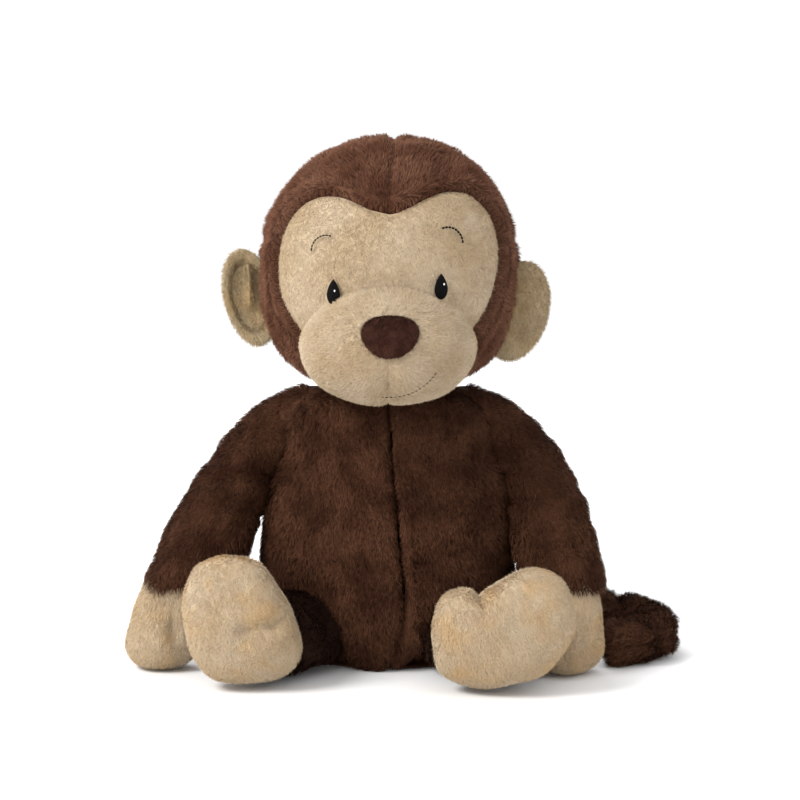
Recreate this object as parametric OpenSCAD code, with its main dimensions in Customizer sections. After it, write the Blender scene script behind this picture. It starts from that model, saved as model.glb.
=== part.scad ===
// Seated plush monkey: short-pile fabric panels sewn over stuffing, with pellet bags that
// weigh down the seat, hands and feet. It faces -Y, sits on Z = 0, and its left side is +X.
// Each limb, ear and the tail turns at its sewn root; the head turns and nods on the neck.

/* [Torso] */
// Width of the belly
torso_w = 178; // [145:1:215]
// Depth of the belly
torso_d = 120; // [100:1:145]
// Height of the shoulders above the seat
torso_h = 184; // [155:1:222]
// Width across the shoulders
shoulder_w = 134; // [112:1:160]
// Depth at the shoulders
shoulder_d = 90; // [76:1:108]
// Width of the flat seat
seat_w = 118; // [95:1:132]
// Depth of the flat seat
seat_d = 86; // [70:1:96]
// Height of the pellet bag in the seat
seat_pellet_h = 42; // [30:1:52]

/* [Head] */
// Width of the head
head_w = 174; // [145:1:210]
// Depth of the head
head_d = 156; // [130:1:188]
// Height of the head above its widest line
crown_h = 93; // [78:1:112]
// Height of the head below its widest line
jaw_h = 82; // [70:1:98]
// Radius of the ball of stuffing in the neck
neck_r = 16; // [13:0.5:18]
// Outer radius of the gathered neck seam
gather_r = 27; // [22:1:30]

/* [Face] */
// Half of the face panel's spread around the head, in degrees
face_spread = 60; // [50:1:64]
// Rise of the face panel's middle notch above the widest line, in degrees
face_notch = 29; // [25:1:32]
// Extra rise of the two lobes beside the notch, in degrees
face_lobe = 9; // [6:1:11]
// Width of the muzzle
muzzle_w = 120; // [100:1:132]
// Height of the muzzle
muzzle_h = 80; // [68:1:84]
// Reach of the muzzle in front of the head's middle
muzzle_reach = 114; // [104:1:125]
// Width of the nose
nose_w = 36; // [28:1:44]
// Height of the nose
nose_h = 26; // [20:1:30]
// Width of an eye
eye_w = 10; // [8:0.5:12]
// Height of an eye
eye_h = 15; // [12:0.5:16]
// Distance between the eyes
eye_gap = 71; // [64:1:80]
// Width of a brow arc
brow_w = 17; // [13:1:21]

/* [Ears] */
// Reach of an ear from the head
ear_w = 29; // [24:1:35]
// Height of an ear
ear_h = 70; // [58:1:84]
// Thickness of an ear
ear_t = 14; // [11:1:17]

/* [Arms] */
// Radius of the arm at the shoulder
arm_r = 20.5; // [17:0.5:24.5]
// Width of the sleeve at the cuff
cuff_w = 60; // [50:1:66]
// Depth of the sleeve at the cuff
cuff_d = 49; // [41:1:58]
// Height of the cuff above the ground
cuff_z = 66; // [56:1:78]
// Distance of the right cuff's middle beyond the belly's side
cuff_right_out = 50; // [41:1:71]
// Distance of the left cuff's middle beyond the belly's side
cuff_left_out = 33; // [32:1:56]
// Distance of the right hand's middle beyond the belly's side
hand_right_out = 57; // [49:1:81]
// Distance of the left hand's middle beyond the belly's side
hand_left_out = 35; // [32:1:59]
// Width of the right hand
hand_right_w = 70; // [58:1:80]
// Width of the left hand
hand_left_w = 52; // [44:1:60]
// Depth of a hand
hand_d = 47; // [40:1:52]

/* [Legs] */
// Radius of the thigh at the hip
hip_r = 26; // [22:0.5:30]
// Distance of a hip from the middle
hip_x = 62; // [54:1:70]
// Height of a foot, heel to toes
foot_h = 98; // [82:1:117]
// Thickness of a foot, sole to instep
foot_t = 50; // [42:1:58]
// Width of the right foot
foot_right_w = 77; // [65:1:84]
// Width of the left foot
foot_left_w = 93; // [78:1:98]
// Distance of the right foot from the middle
foot_right_x = 95; // [88:1:100]
// Distance of the left foot from the middle
foot_left_x = 74; // [66:1:82]

/* [Tail] */
// Radius of the tail
tail_r = 15; // [12:0.5:17]

/* [Fabric] */
// Thickness of the fabric with its backing
skin_t = 2; // [1.5:0.1:2.5]
// Gap left between two sewn pieces
seam_gap = 0.3; // [0.2:0.05:0.4]
// Gap at the pieces that turn
joint_gap = 0.4; // [0.35:0.05:0.6]

/* [Hidden] */

brown = [0.21, 0.12, 0.08];
tan = [0.80, 0.71, 0.56];
nose_brown = [0.22, 0.13, 0.10];
thread_black = [0.06, 0.05, 0.05];
thread_white = [0.93, 0.93, 0.92];
fill_white = [0.93, 0.93, 0.90];
pellet_grey = [0.78, 0.80, 0.78];

facet_slack = torso_w / 712;      // flat facets lie about this far inside the true curves
head_slack = head_w / 696;        // and this far on the head
muzzle_slack = muzzle_w / 160;    // and up to this far on the muzzle, which bends more
core_in = skin_t + seam_gap + facet_slack;  // depth of the stuffing below the outer face
floor_gap = 1;                    // soft ends stay this far above the ground
seat_lift = 0.3;                  // the torso panels start above the flat gusset's face

belly_z = 0.3 * torso_h;          // height of the widest part of the belly
shoulder_z = torso_h - 26;        // height of the shoulder pivots
neck_z = torso_h + 4;             // height of the neck's pivot
collar_r = 24;                    // half width of the torso's opening at the neck
head_z = torso_h + 6 + jaw_h;     // height of the head's widest line
head_y = 2;                       // the head sits a little behind the torso's middle
muzzle_y = -52;
muzzle_z = head_z - 46;
nose_z = muzzle_z + 12;
eye_z = head_z - 4;
brow_z = head_z + 28;

// ---- surfaces as rings of points ----

// Two triangles for a quad
function quad(a, b, c, d) = [[a, b, c], [a, c, d]];

// Closed solid through rings that run round the outside, with a fan at each end
module solid_rings(rings) {
  n = len(rings[0]);
  m = len(rings);
  mean = function (ring) [for (k = [0:2]) [for (p = ring) p[k]] * [for (p = ring) 1] / len(ring)];
  first = n * m;
  last = first + 1;
  sides = [for (j = [0:m - 2], i = [0:n - 1]) let (k = (i + 1) % n)
    each quad(j * n + i, (j + 1) * n + i, (j + 1) * n + k, j * n + k)];
  low_end = [for (i = [0:n - 1]) [first, i, (i + 1) % n]];
  high_end = [for (i = [0:n - 1]) [last, (m - 1) * n + (i + 1) % n, (m - 1) * n + i]];
  polyhedron(
    points = concat([for (ring = rings) each ring], [mean(rings[0]), mean(rings[m - 1])]),
    faces = concat(sides, low_end, high_end)
  );
}

// Open panel with a thickness, between an outer and an inner grid of points
module shell_rings(outer, inner) {
  n = len(outer[0]);
  m = len(outer);
  o = function (j, i) j * n + i;
  s = function (j, i) m * n + j * n + i;
  faces_out = [for (j = [0:m - 2], i = [0:n - 2])
    each quad(o(j, i), o(j + 1, i), o(j + 1, i + 1), o(j, i + 1))];
  faces_in = [for (j = [0:m - 2], i = [0:n - 2])
    each quad(s(j, i), s(j, i + 1), s(j + 1, i + 1), s(j + 1, i))];
  edge_low = [for (i = [0:n - 2]) each quad(o(0, i), o(0, i + 1), s(0, i + 1), s(0, i))];
  edge_high = [for (i = [0:n - 2])
    each quad(o(m - 1, i + 1), o(m - 1, i), s(m - 1, i), s(m - 1, i + 1))];
  edge_first = [for (j = [0:m - 2]) each quad(o(j + 1, 0), o(j, 0), s(j, 0), s(j + 1, 0))];
  edge_last = [for (j = [0:m - 2])
    each quad(o(j, n - 1), o(j + 1, n - 1), s(j + 1, n - 1), s(j, n - 1))];
  polyhedron(
    points = concat([for (ring = outer) each ring], [for (ring = inner) each ring]),
    faces = concat(faces_out, faces_in, edge_low, edge_high, edge_first, edge_last)
  );
}

// ---- stacks: elliptical sections [height, centre x, centre y, half width, half depth] ----

// Height moved inwards by d at both ends of the stack
function sunk(z, low, high, d) = low + d + (z - low) * (high - low - 2 * d) / (high - low);

// Points of one section from angle a0 to a1, at depth d below the outer face
function section(row, angles, d, low, high) =
  let (a = max(row[3] - d, 0.3), b = max(row[4] - d, 0.3), z = sunk(row[0], low, high, d))
  [for (t = angles) [row[1] + a * cos(t), row[2] + b * sin(t), z]];

round_angles = [for (i = [0:23]) i * 15];

module stack_core(rows, low, high) {
  solid_rings([for (row = rows) section(row, round_angles, core_in, low, high)]);
}

// Fabric panel over part of a stack; it stops half a seam short at its two side edges
module stack_panel(rows, low, high, a0, a1, steps) {
  trim = 0.2;
  angles = [for (i = [0:steps]) a0 + trim + (a1 - a0 - 2 * trim) * i / steps];
  shell_rings(
    [for (row = rows) section(row, angles, 0, low, high)],
    [for (row = rows) section(row, angles, skin_t, low, high)]
  );
}

// Fabric cap that closes the high end of a stack
module stack_cap(rows, low, high) {
  count = len(rows);
  solid_rings(concat(
    [for (j = [count - 1:-1:0]) section(rows[j], round_angles, skin_t, low, high)],
    [for (row = rows) section(row, round_angles, 0, low, high)]
  ));
}

// ---- torso ----

// Half size of the torso at a height: seat, belly, shoulder and collar joined by smooth curves
function torso_half(z, seat, belly, shoulder) =
  z < belly_z ? let (t = 1 - z / belly_z) seat + (belly - seat) * sqrt(1 - t * t)
  : z < shoulder_z ? let (t = (z - belly_z) / (shoulder_z - belly_z))
    shoulder + (belly - shoulder) * (0.5 + 0.5 * cos(180 * t))
  : let (t = (z - shoulder_z) / (torso_h - shoulder_z))
    collar_r + (shoulder - collar_r) * sqrt(max(1 - t * t, 0));

function torso_row(z) = [
  z, 0, 0,
  torso_half(z, seat_w / 2 + skin_t, torso_w / 2, shoulder_w / 2),
  torso_half(z, seat_d / 2 + skin_t, torso_d / 2, shoulder_d / 2)
];

seat_rows = [for (t = [0, 0.05, 0.18, 0.38, 0.66]) torso_row(seat_lift + t * belly_z)];
pellet_top = seat_pellet_h + core_in;
body_heights = concat(
  [for (t = [0:0.16:0.8]) belly_z + t * (shoulder_z - belly_z)],
  [for (t = [0, 0.35, 0.65, 0.85, 0.96, 1]) shoulder_z + t * (torso_h - shoulder_z)]
);
torso_rows = concat(seat_rows, [for (z = body_heights) torso_row(z)]);

module torso_panel(a0) {
  color(brown) stack_panel(torso_rows, seat_lift, torso_h, a0, a0 + 90, 6);
}

module torso_front_left() { torso_panel(270); }
module torso_front_right() { torso_panel(180); }
module torso_back_left() { torso_panel(0); }
module torso_back_right() { torso_panel(90); }

// Flat oval that the toy sits on
module seat_gusset() {
  color(brown) linear_extrude(skin_t)
    polygon([for (i = [0:47]) let (t = i * 7.5)
      [seat_w / 2 * cos(t), seat_d / 2 * sin(t)]]);
}

module seat_pellets() {
  rows = concat([for (row = seat_rows) if (row[0] < pellet_top - 2) row], [torso_row(pellet_top)]);
  color(pellet_grey) stack_core(rows, seat_lift, torso_h);
}

// Stuffing above the pellets, dished at the top for the ball in the neck
module torso_stuffing() {
  low = pellet_top + seam_gap;
  heights = concat([low], [for (z = body_heights) if (z > low + 2 && z < torso_h - 0.1) z]);
  body_rings = [for (z = heights)
    section(torso_row(z), round_angles, core_in, seat_lift, torso_h)];
  bowl_r = neck_r + joint_gap + 1;
  bowl = [[0, bowl_r], [-2, bowl_r], [-12, 0.8 * bowl_r], [-14.5, 1]];
  bowl_rings = [for (step = bowl) [for (t = round_angles)
    [step[1] * cos(t), head_y + step[1] * sin(t), torso_h - core_in + step[0]]]];
  color(fill_white) solid_rings(concat(body_rings, bowl_rings));
}

// ---- neck ----

// Gathered seam round the neck, with a spherical bore for the ball of stuffing
module neck_gather() {
  bore_r = neck_r + joint_gap;
  low = torso_h + joint_gap - neck_z;
  bore_low = sqrt(bore_r * bore_r - low * low);
  bore_top = -1.2;
  color(brown) translate([0, head_y, neck_z])
    difference() {
      rotate_extrude($fn = 48)
        polygon([[bore_low - 3, low], [gather_r, low], [gather_r, low + 0.9], [bore_r - 3, bore_top]]);
      sphere(r = bore_r, $fn = 64);
    }
}

module neck_stuffing() {
  cut = head_z - jaw_h + core_in - seam_gap - neck_z;
  color(fill_white) translate([0, head_y, neck_z])
    difference() {
      sphere(r = neck_r, $fn = 64);
      translate([0, 0, cut + neck_r]) cube(2 * neck_r, center = true);
    }
}

// ---- head ----

// Distance from the head's middle to its face, in the direction of longitude p and latitude t
function head_reach(t, p, d) =
  let (
    power = t > 0 ? 2.15 : 2.6,
    tall = t > 0 ? crown_h : jaw_h,
    wide = norm([cos(t) * sin(p) / (head_w / 2 - d), cos(t) * cos(p) / (head_d / 2 - d)])
  )
  pow(pow(wide, power) + pow(abs(sin(t)) / (tall - d), power), -1 / power);

// Unit direction; longitude 0 is the front, positive towards the left side
function heading(t, p) = [cos(t) * sin(p), -cos(t) * cos(p), sin(t)];

head_middle = [0, head_y, head_z];
function head_point(t, p, d) = head_middle + head_reach(t, p, d) * heading(t, p);

// Front of the head at a place in the front view
function head_front(x, z) =
  let (
    h = (z - head_z) / (z > head_z ? crown_h : jaw_h),
    power = z > head_z ? 2.15 : 2.6,
    wide = pow(1 - pow(abs(h), power), 1 / power)
  )
  head_y - head_d / 2 * sqrt(wide * wide - pow(2 * x / head_w, 2));

// Heart line over the face, and the hood's level line beyond it
function hair_line(p) =
  let (t = min(abs(p) / face_spread, 1)) face_notch + face_lobe * sin(150 * t) * (1 + 0.2 * t);

// Seam between the face panel and the muzzle
function muzzle_line(p) = -3 - 32 * pow(abs(p) / face_spread, 2);

neck_hole = -76;   // latitude of the opening in the bottom of the head
chin_line = -62;   // latitude of the front edge under the muzzle

// Panel between two longitudes; low and high give its edges' latitudes at a longitude
module head_panel(p0, p1, low, high, across, up) {
  trim = 0.1;
  places = [for (j = [0:up]) [for (i = [0:across])
    let (
      p = p0 + trim + (p1 - p0 - 2 * trim) * i / across,
      a = low(p) + trim,
      b = high(p) - trim
    ) [a + (b - a) * j / up, p]]];
  shell_rings(
    [for (line = places) [for (q = line) head_point(q[0], q[1], 0)]],
    [for (line = places) [for (q = line) head_point(q[0], q[1], skin_t)]]
  );
}

hair = function (p) hair_line(p);
top = function (p) 88;
hole = function (p) neck_hole;
chin = function (p) chin_line;
seam = function (p) muzzle_line(p);

module crown_left() { color(brown) head_panel(0, 180, hair, top, 18, 5); }
module crown_right() { color(brown) head_panel(-180, 0, hair, top, 18, 5); }
module hood_left() { color(brown) head_panel(face_spread, 100, hole, hair, 4, 9); }
module hood_right() { color(brown) head_panel(-100, -face_spread, hole, hair, 4, 9); }
module head_back_left() { color(brown) head_panel(100, 180, hole, hair, 8, 9); }
module head_back_right() { color(brown) head_panel(-180, -100, hole, hair, 8, 9); }
module chin_gusset() { color(brown) head_panel(-face_spread, face_spread, hole, chin, 12, 2); }
module face_panel() { color(tan) head_panel(-face_spread, face_spread, seam, hair, 12, 7); }

head_core_in = skin_t + seam_gap + 2 * head_slack;

module head_stuffing() {
  longitudes = [for (i = [0:35]) i * 10];
  latitudes = [-88, -76, -62, -48, -34, -20, -6, 8, 22, 38, 56, 74, 88];
  color(fill_white)
    solid_rings([for (t = latitudes) [for (p = longitudes) head_point(t, p, head_core_in)]]);
}

// ---- muzzle ----

muzzle_power = 2.1;
muzzle_half = [muzzle_w / 2, muzzle_reach + muzzle_y, muzzle_h / 2];
muzzle_middle = [0, muzzle_y, muzzle_z];

// Point of the muzzle: r is the angle off its nose axis, a runs round it; it rests on the head
function muzzle_point(r, a, d) =
  let (
    way = [sin(r) * cos(a), -cos(r), sin(r) * sin(a)],
    sum = [for (k = [0:2]) pow(abs(way[k]) / (muzzle_half[k] - d), muzzle_power)] * [1, 1, 1],
    free = muzzle_middle + way * pow(sum, -1 / muzzle_power) - head_middle,
    out = free / norm(free)
  )
  head_middle + out * max(norm(free), on_head(out) + seam_gap + 3 - d);

// Distance of the head's face along a unit direction
function on_head(way) = head_reach(asin(way[2]), atan2(way[0], -way[1]), 0);

// Point just above the head's stuffing, right behind a point of the muzzle
function behind(point) =
  let (way = (point - head_middle) / norm(point - head_middle))
  head_middle + way * (on_head(way) - head_core_in + seam_gap);

// Front of the muzzle at a place in the front view
function muzzle_front(x, z) =
  let (rest = 1 - pow(abs(x) / muzzle_half[0], muzzle_power)
    - pow(abs(z - muzzle_z) / muzzle_half[2], muzzle_power))
  muzzle_y - muzzle_half[1] * pow(max(rest, 0), 1 / muzzle_power);

muzzle_core_in = skin_t + seam_gap + muzzle_slack;
muzzle_rises = [for (i = [0:6]) 4 + 14 * i];

module muzzle_half_panel(a0) {
  trim = 0.25;
  turns = [for (j = [0:10]) a0 + trim + (180 - 2 * trim) * j / 10];
  color(tan) shell_rings(
    [for (a = turns) [for (r = muzzle_rises) muzzle_point(r, a, 0)]],
    [for (a = turns) [for (r = muzzle_rises) muzzle_point(r, a, skin_t)]]
  );
}

module muzzle_left() { muzzle_half_panel(-90); }
module muzzle_right() { muzzle_half_panel(90); }

module muzzle_stuffing() {
  turns = [for (i = [0:19]) i * 18];
  back_rings = [for (r = muzzle_rises) [for (a = turns) behind(muzzle_point(r, a, muzzle_core_in))]];
  front_rings = [for (i = [6:-1:0]) [for (a = turns) muzzle_point(muzzle_rises[i], a, muzzle_core_in)]];
  color(fill_white) solid_rings(concat(back_rings, front_rings));
}

// ---- face details ----

// Domed patch on a surface; outline gives its edge at an angle, front the surface behind it
module patch(x, z, outline, front, lift, thick) {
  turns = [for (i = [0:15]) i * 22.5];
  steps = [0.1, 0.55, 1];
  ring = function (s, rise) [for (a = turns)
    let (q = outline(a) * s) [x + q[0], front(x + q[0], z + q[1]) - lift - rise, z + q[1]]];
  solid_rings(concat(
    [for (s = steps) ring(s, 0)],
    [for (i = [2:-1:0]) ring(steps[i], thick * (0.35 + 0.65 * sqrt(1 - pow(steps[i], 2))))]
  ));
}

// Thin stitched arc on a surface: half size [w, h] of its ellipse, from angle a0 to a1
module stitch_arc(x, z, half, a0, a1, front, wide, steps) {
  raise = 1;
  place = function (a, s) [x + (half[0] + s) * cos(a), z + (half[1] + s) * sin(a)];
  line = [for (s = [-wide / 2, wide / 2]) [for (i = [0:steps])
    place(a1 + (a0 - a1) * i / steps, s)]];
  on = function (depth) [for (side = line) [for (q = side)
    [q[0], front(q[0], q[1]) - depth, q[1]]]];
  shell_rings(on(seam_gap + raise), on(seam_gap));
}

on_face = function (x, z) head_front(x, z);
on_muzzle = function (x, z) muzzle_front(x, z);

module nose_patch() {
  oval = function (a) [nose_w / 2 * cos(a), nose_h / 2 * sin(a)];
  color(nose_brown) patch(0, nose_z, oval, on_muzzle, seam_gap, 5);
}

// Teardrop eye, pointed at the top
module eye(side) {
  drop = function (a) [eye_w / 2 * cos(a) * (1 - 0.4 * max(sin(a), 0)), eye_h / 2 * sin(a)];
  color(thread_black) patch(side * eye_gap / 2, eye_z, drop, on_face, seam_gap, 1.2);
}

module eye_glint(side) {
  spot = function (a) [eye_w / 8 * cos(a), eye_h / 8 * sin(a)];
  color(thread_white)
    patch(side * eye_gap / 2 + eye_w / 8, eye_z + eye_h / 6, spot, on_face, seam_gap + 1.6, 0.5);
}

module eye_left() { eye(1); }
module eye_right() { eye(-1); }
module eye_glint_left() { eye_glint(1); }
module eye_glint_right() { eye_glint(-1); }

module brow(side, low, high) {
  color(thread_black)
    stitch_arc(side * (eye_gap / 2 + 5), brow_z, [brow_w / 2, brow_w / 2], low, high, on_face, 1.6, 8);
}

module brow_left() { brow(1, 10, 130); }
module brow_right() { brow(-1, 50, 170); }

module mouth_stitch() {
  color(thread_black) stitch_arc(
    0, muzzle_z + 4, [muzzle_w / 3, muzzle_h / 3 + 4], 200, 340, on_muzzle, 1.4, 14);
}

// ---- ears ----

// Half width of the head at a height below its widest line
function head_half(z) = head_w / 2 * pow(1 - pow((head_z - z) / jaw_h, 2.6), 1 / 2.6);

// Side distance at which the inner edge of an ear with its middle at height z clears the head
function ear_root(z) = joint_gap + max([for (up = [-20:5:20])
  head_half(min(z + up, head_z)) - ear_w / 2 * (1 - sqrt(1 - pow(2 * up / ear_h, 2)))]);

// Half of an ear, front (face = 1) or back (face = -1), on one side of the head
module ear_half(side, face, z) {
  latitudes = [-84, -64, -44, -22, 0, 22, 44, 64, 84];
  turn = face > 0 ? 0 : 180;
  rings = [for (t = latitudes) [for (p = [-90:15:90])
    let (way = heading(t, p + turn))
    [way[0] * ear_w / 2, way[1] * ear_t / 2 - face * seam_gap / 2, way[2] * ear_h / 2]]];
  color(tan) translate([side * (ear_root(z) + ear_w / 2), head_y, z]) solid_rings(rings);
}

ear_left_z = head_z - 28;
ear_right_z = head_z - 20;
module ear_left_front() { ear_half(1, 1, ear_left_z); }
module ear_left_back() { ear_half(1, -1, ear_left_z); }
module ear_right_front() { ear_half(-1, 1, ear_right_z); }
module ear_right_back() { ear_half(-1, -1, ear_right_z); }

// ---- arms ----

// Distance of the shoulder pivot that keeps the arm's round end clear of the torso
shoulder_reach = arm_r + joint_gap;
shoulder_x = max([for (dz = [-20:2:20]) if (abs(dz) < shoulder_reach)
  torso_row(shoulder_z + dz)[3] + sqrt(shoulder_reach * shoulder_reach - dz * dz)]);

cuff_y = -38;                     // the arms reach forward to the cuffs
cuff_right_x = torso_w / 2 + cuff_right_out;
cuff_left_x = torso_w / 2 + cuff_left_out;
hand_right_x = torso_w / 2 + hand_right_out;
hand_left_x = torso_w / 2 + hand_left_out;

// Sections of an arm from the hand's tip up to the round shoulder, for the left side
function hand_rows(cuff_x, hand_x, hand_w, hand_y) =
  let (
    middle = (cuff_z + floor_gap) / 2 + 2,
    half = middle - floor_gap,
    wrist = (cuff_z - seam_gap / 2 - middle) / half
  )
  [for (s = [-0.99, -0.93, -0.8, -0.55, -0.2, 0.2, 0.55, wrist]) let (
    share = (wrist - s) / (wrist + 0.6),
    size = pow(1 - pow(abs(s), 3), 1 / 3)
  ) [middle + s * half, cuff_x + (hand_x - cuff_x) * min(share, 1),
    hand_y + (cuff_y - hand_y) * max(1 - share, 0), hand_w / 2 * size, hand_d / 2 * size]];

function sleeve_rows(cuff_x) = concat(
  [for (i = [0:6]) let (
    t = 1 - i / 6,
    z = shoulder_z + (cuff_z + seam_gap / 2 - shoulder_z) * t
  ) [z, shoulder_x + (cuff_x - shoulder_x) * pow(t, 1.15), cuff_y * pow(t, 1.3),
    arm_r + (cuff_w / 2 - arm_r) * pow(t, 0.65), arm_r + (cuff_d / 2 - arm_r) * t]],
  [for (e = [22, 44, 64, 82]) let (r = arm_r * cos(e))
    [shoulder_z + arm_r * sin(e), shoulder_x, 0, r, r]]
);

arm_top = shoulder_z + arm_r;
left_hand = hand_rows(cuff_left_x, hand_left_x, hand_left_w, -58);
right_hand = hand_rows(cuff_right_x, hand_right_x, hand_right_w, -42);
left_sleeve = sleeve_rows(cuff_left_x);
right_sleeve = sleeve_rows(cuff_right_x);

module arm_panel(rows, side, a0, hue) {
  mirror([side < 0 ? 1 : 0, 0, 0])
    color(hue) stack_panel(rows, floor_gap, arm_top, a0, a0 + 180, 12);
}

module arm_core(rows, side, hue) {
  mirror([side < 0 ? 1 : 0, 0, 0]) color(hue) stack_core(rows, floor_gap, arm_top);
}

module sleeve_left_front() { arm_panel(left_sleeve, 1, 180, brown); }
module sleeve_left_back() { arm_panel(left_sleeve, 1, 0, brown); }
module hand_left_palm() { arm_panel(left_hand, 1, 0, tan); }
module hand_left_back() { arm_panel(left_hand, 1, 180, tan); }
module arm_left_stuffing() { arm_core(left_sleeve, 1, fill_white); }
module hand_left_pellets() { arm_core(left_hand, 1, pellet_grey); }
module sleeve_right_front() { arm_panel(right_sleeve, -1, 180, brown); }
module sleeve_right_back() { arm_panel(right_sleeve, -1, 0, brown); }
module hand_right_palm() { arm_panel(right_hand, -1, 0, tan); }
module hand_right_back() { arm_panel(right_hand, -1, 180, tan); }
module arm_right_stuffing() { arm_core(right_sleeve, -1, fill_white); }
module hand_right_pellets() { arm_core(right_hand, -1, pellet_grey); }

// ---- legs: stacks that run forward, along -Y, from the hip to the sole ----

// Distance in front of or behind the torso's middle at which a round end of radius r, with its
// centre at the side distance x and height z, just clears the torso
function clear_of_torso(x, z, r) =
  max([for (up = [-r:2:r]) let (row = torso_row(z + up), reach = pow(r + joint_gap, 2) - up * up)
    for (t = [0:3:90]) let (off = x - row[3] * sin(t)) if (off * off < reach)
    row[4] * cos(t) + sqrt(reach - off * off)]) - facet_slack;

hip_z = hip_r + 2;
hip_forward = clear_of_torso(hip_x, hip_z, hip_r);
ankle = 0.7;                                         // where the foot starts, in half thicknesses
foot_forward = hip_forward + 20 + ankle * foot_t / 2;  // middle of the foot's thickness
foot_z = foot_h / 2 + floor_gap;
sole_end = foot_forward + foot_t / 2;

function foot_row(s, foot_x, foot_w) =
  let (size = pow(1 - pow(abs(s), 2.6), 1 / 2.6))
  [foot_forward + s * foot_t / 2, foot_x, foot_z, foot_w / 2 * size, foot_h / 2 * size];

function leg_rows(foot_x, foot_w) =
  let (end = foot_row(-ankle, foot_x, foot_w))
  concat(
    [for (e = [-82, -62, -42, -20]) let (r = hip_r * cos(e))
      [hip_forward + hip_r * sin(e), hip_x, hip_z, r, r]],
    [for (t = [0, 0.35, 0.7, 1]) [
      hip_forward + (end[0] - seam_gap - hip_forward) * t,
      hip_x + (end[1] - hip_x) * t,
      hip_z + (end[2] - hip_z) * t,
      hip_r + (end[3] - hip_r) * t,
      hip_r + (end[4] - hip_r) * t
    ]]
  );

instep_steps = [-ankle, -0.4, -0.05];
sole_steps = [-0.05 + 2 * seam_gap / foot_t, 0.3, 0.6, 0.82, 0.94, 0.99];
function foot_rows(steps, foot_x, foot_w) = [for (s = steps) foot_row(s, foot_x, foot_w)];

module forward(side) {
  mirror([side < 0 ? 1 : 0, 0, 0]) rotate([90, 0, 0]) children();
}

hip_back = hip_forward - hip_r;

module leg_wrap(side, foot_x, foot_w) {
  color(brown) forward(side)
    stack_panel(leg_rows(foot_x, foot_w), hip_back, sole_end, -90, 270, 24);
}

module foot_instep(side, foot_x, foot_w) {
  color(tan) forward(side)
    stack_panel(foot_rows(instep_steps, foot_x, foot_w), hip_back, sole_end, -90, 270, 24);
}

module foot_sole(side, foot_x, foot_w) {
  color(tan) forward(side) stack_cap(foot_rows(sole_steps, foot_x, foot_w), hip_back, sole_end);
}

module leg_core(side, foot_x, foot_w) {
  color(fill_white) forward(side) stack_core(leg_rows(foot_x, foot_w), hip_back, sole_end);
}

module foot_core(side, foot_x, foot_w) {
  rows = foot_rows(concat(instep_steps, [0.3, 0.6, 0.82, 0.94, 0.99]), foot_x, foot_w);
  color(pellet_grey) forward(side) stack_core(rows, hip_back, sole_end);
}

module leg_left_wrap() { leg_wrap(1, foot_left_x, foot_left_w); }
module foot_left_sole() { foot_sole(1, foot_left_x, foot_left_w); }
module foot_left_instep() { foot_instep(1, foot_left_x, foot_left_w); }
module leg_left_stuffing() { leg_core(1, foot_left_x, foot_left_w); }
module foot_left_pellets() { foot_core(1, foot_left_x, foot_left_w); }
module leg_right_wrap() { leg_wrap(-1, foot_right_x, foot_right_w); }
module foot_right_sole() { foot_sole(-1, foot_right_x, foot_right_w); }
module foot_right_instep() { foot_instep(-1, foot_right_x, foot_right_w); }
module leg_right_stuffing() { leg_core(-1, foot_right_x, foot_right_w); }
module foot_right_pellets() { foot_core(-1, foot_right_x, foot_right_w); }

// ---- tail ----

tail_root_x = 25;
tail_root_z = tail_r + 9;
tail_root = [tail_root_x, clear_of_torso(tail_root_x, tail_root_z, tail_r), tail_root_z];
// Route of the tail's middle: out behind the left arm, and curled back in beside the hand
tail_route = [
  tail_root,
  tail_root + [38, 10, -4],
  tail_root + [82, 4, -6],
  tail_root + [124, -12, 0],
  tail_root + [154, -42, 2],
  tail_root + [156, -72, -5],
  tail_root + [134, -86, -8]
];

// Smooth curve through the route's points, at a place counted in points
function route_at(s) =
  let (
    k = min(floor(s), len(tail_route) - 2),
    f = s - k,
    p1 = tail_route[k],
    p2 = tail_route[k + 1],
    p0 = k > 0 ? tail_route[k - 1] : 2 * p1 - p2,
    p3 = k < len(tail_route) - 2 ? tail_route[k + 2] : 2 * p2 - p1
  )
  p1 + 0.5 * f * (p2 - p0 + f * (2 * p0 - 5 * p1 + 4 * p2 - p3 + f * (3 * (p1 - p2) + p3 - p0)));

function route_way(s) =
  let (step = 0.05, way = route_at(min(s + step, 6)) - route_at(max(s - step, 0))) way / norm(way);

// Ring of points round the tail, slid along its direction by the offset
function tail_ring(s, slide, r, angles) =
  let (
    way = route_way(s),
    side = cross([0, 0, 1], way) / norm(cross([0, 0, 1], way)),
    up = cross(way, side)
  )
  [for (a = angles) route_at(s) + slide * way + r * (cos(a) * side + sin(a) * up)];

function tail_rings(angles, d) = concat(
  [for (e = [78, 50, 24]) tail_ring(0, -(tail_r - d) * sin(e), (tail_r - d) * cos(e), angles)],
  [for (i = [0:15]) tail_ring(i * 0.4, 0, tail_r - d, angles)],
  [for (e = [24, 50, 78]) tail_ring(6, (tail_r - d) * sin(e), (tail_r - d) * cos(e), angles)]
);

module tail_panel(a0) {
  angles = [for (i = [0:8]) a0 + 0.6 + (180 - 1.2) * i / 8];
  color(brown) shell_rings(tail_rings(angles, 0), tail_rings(angles, skin_t));
}

module tail_upper() { tail_panel(0); }
module tail_under() { tail_panel(180); }
module tail_stuffing() {
  color(fill_white) solid_rings(tail_rings([for (i = [0:15]) i * 22.5], core_in));
}

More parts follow.
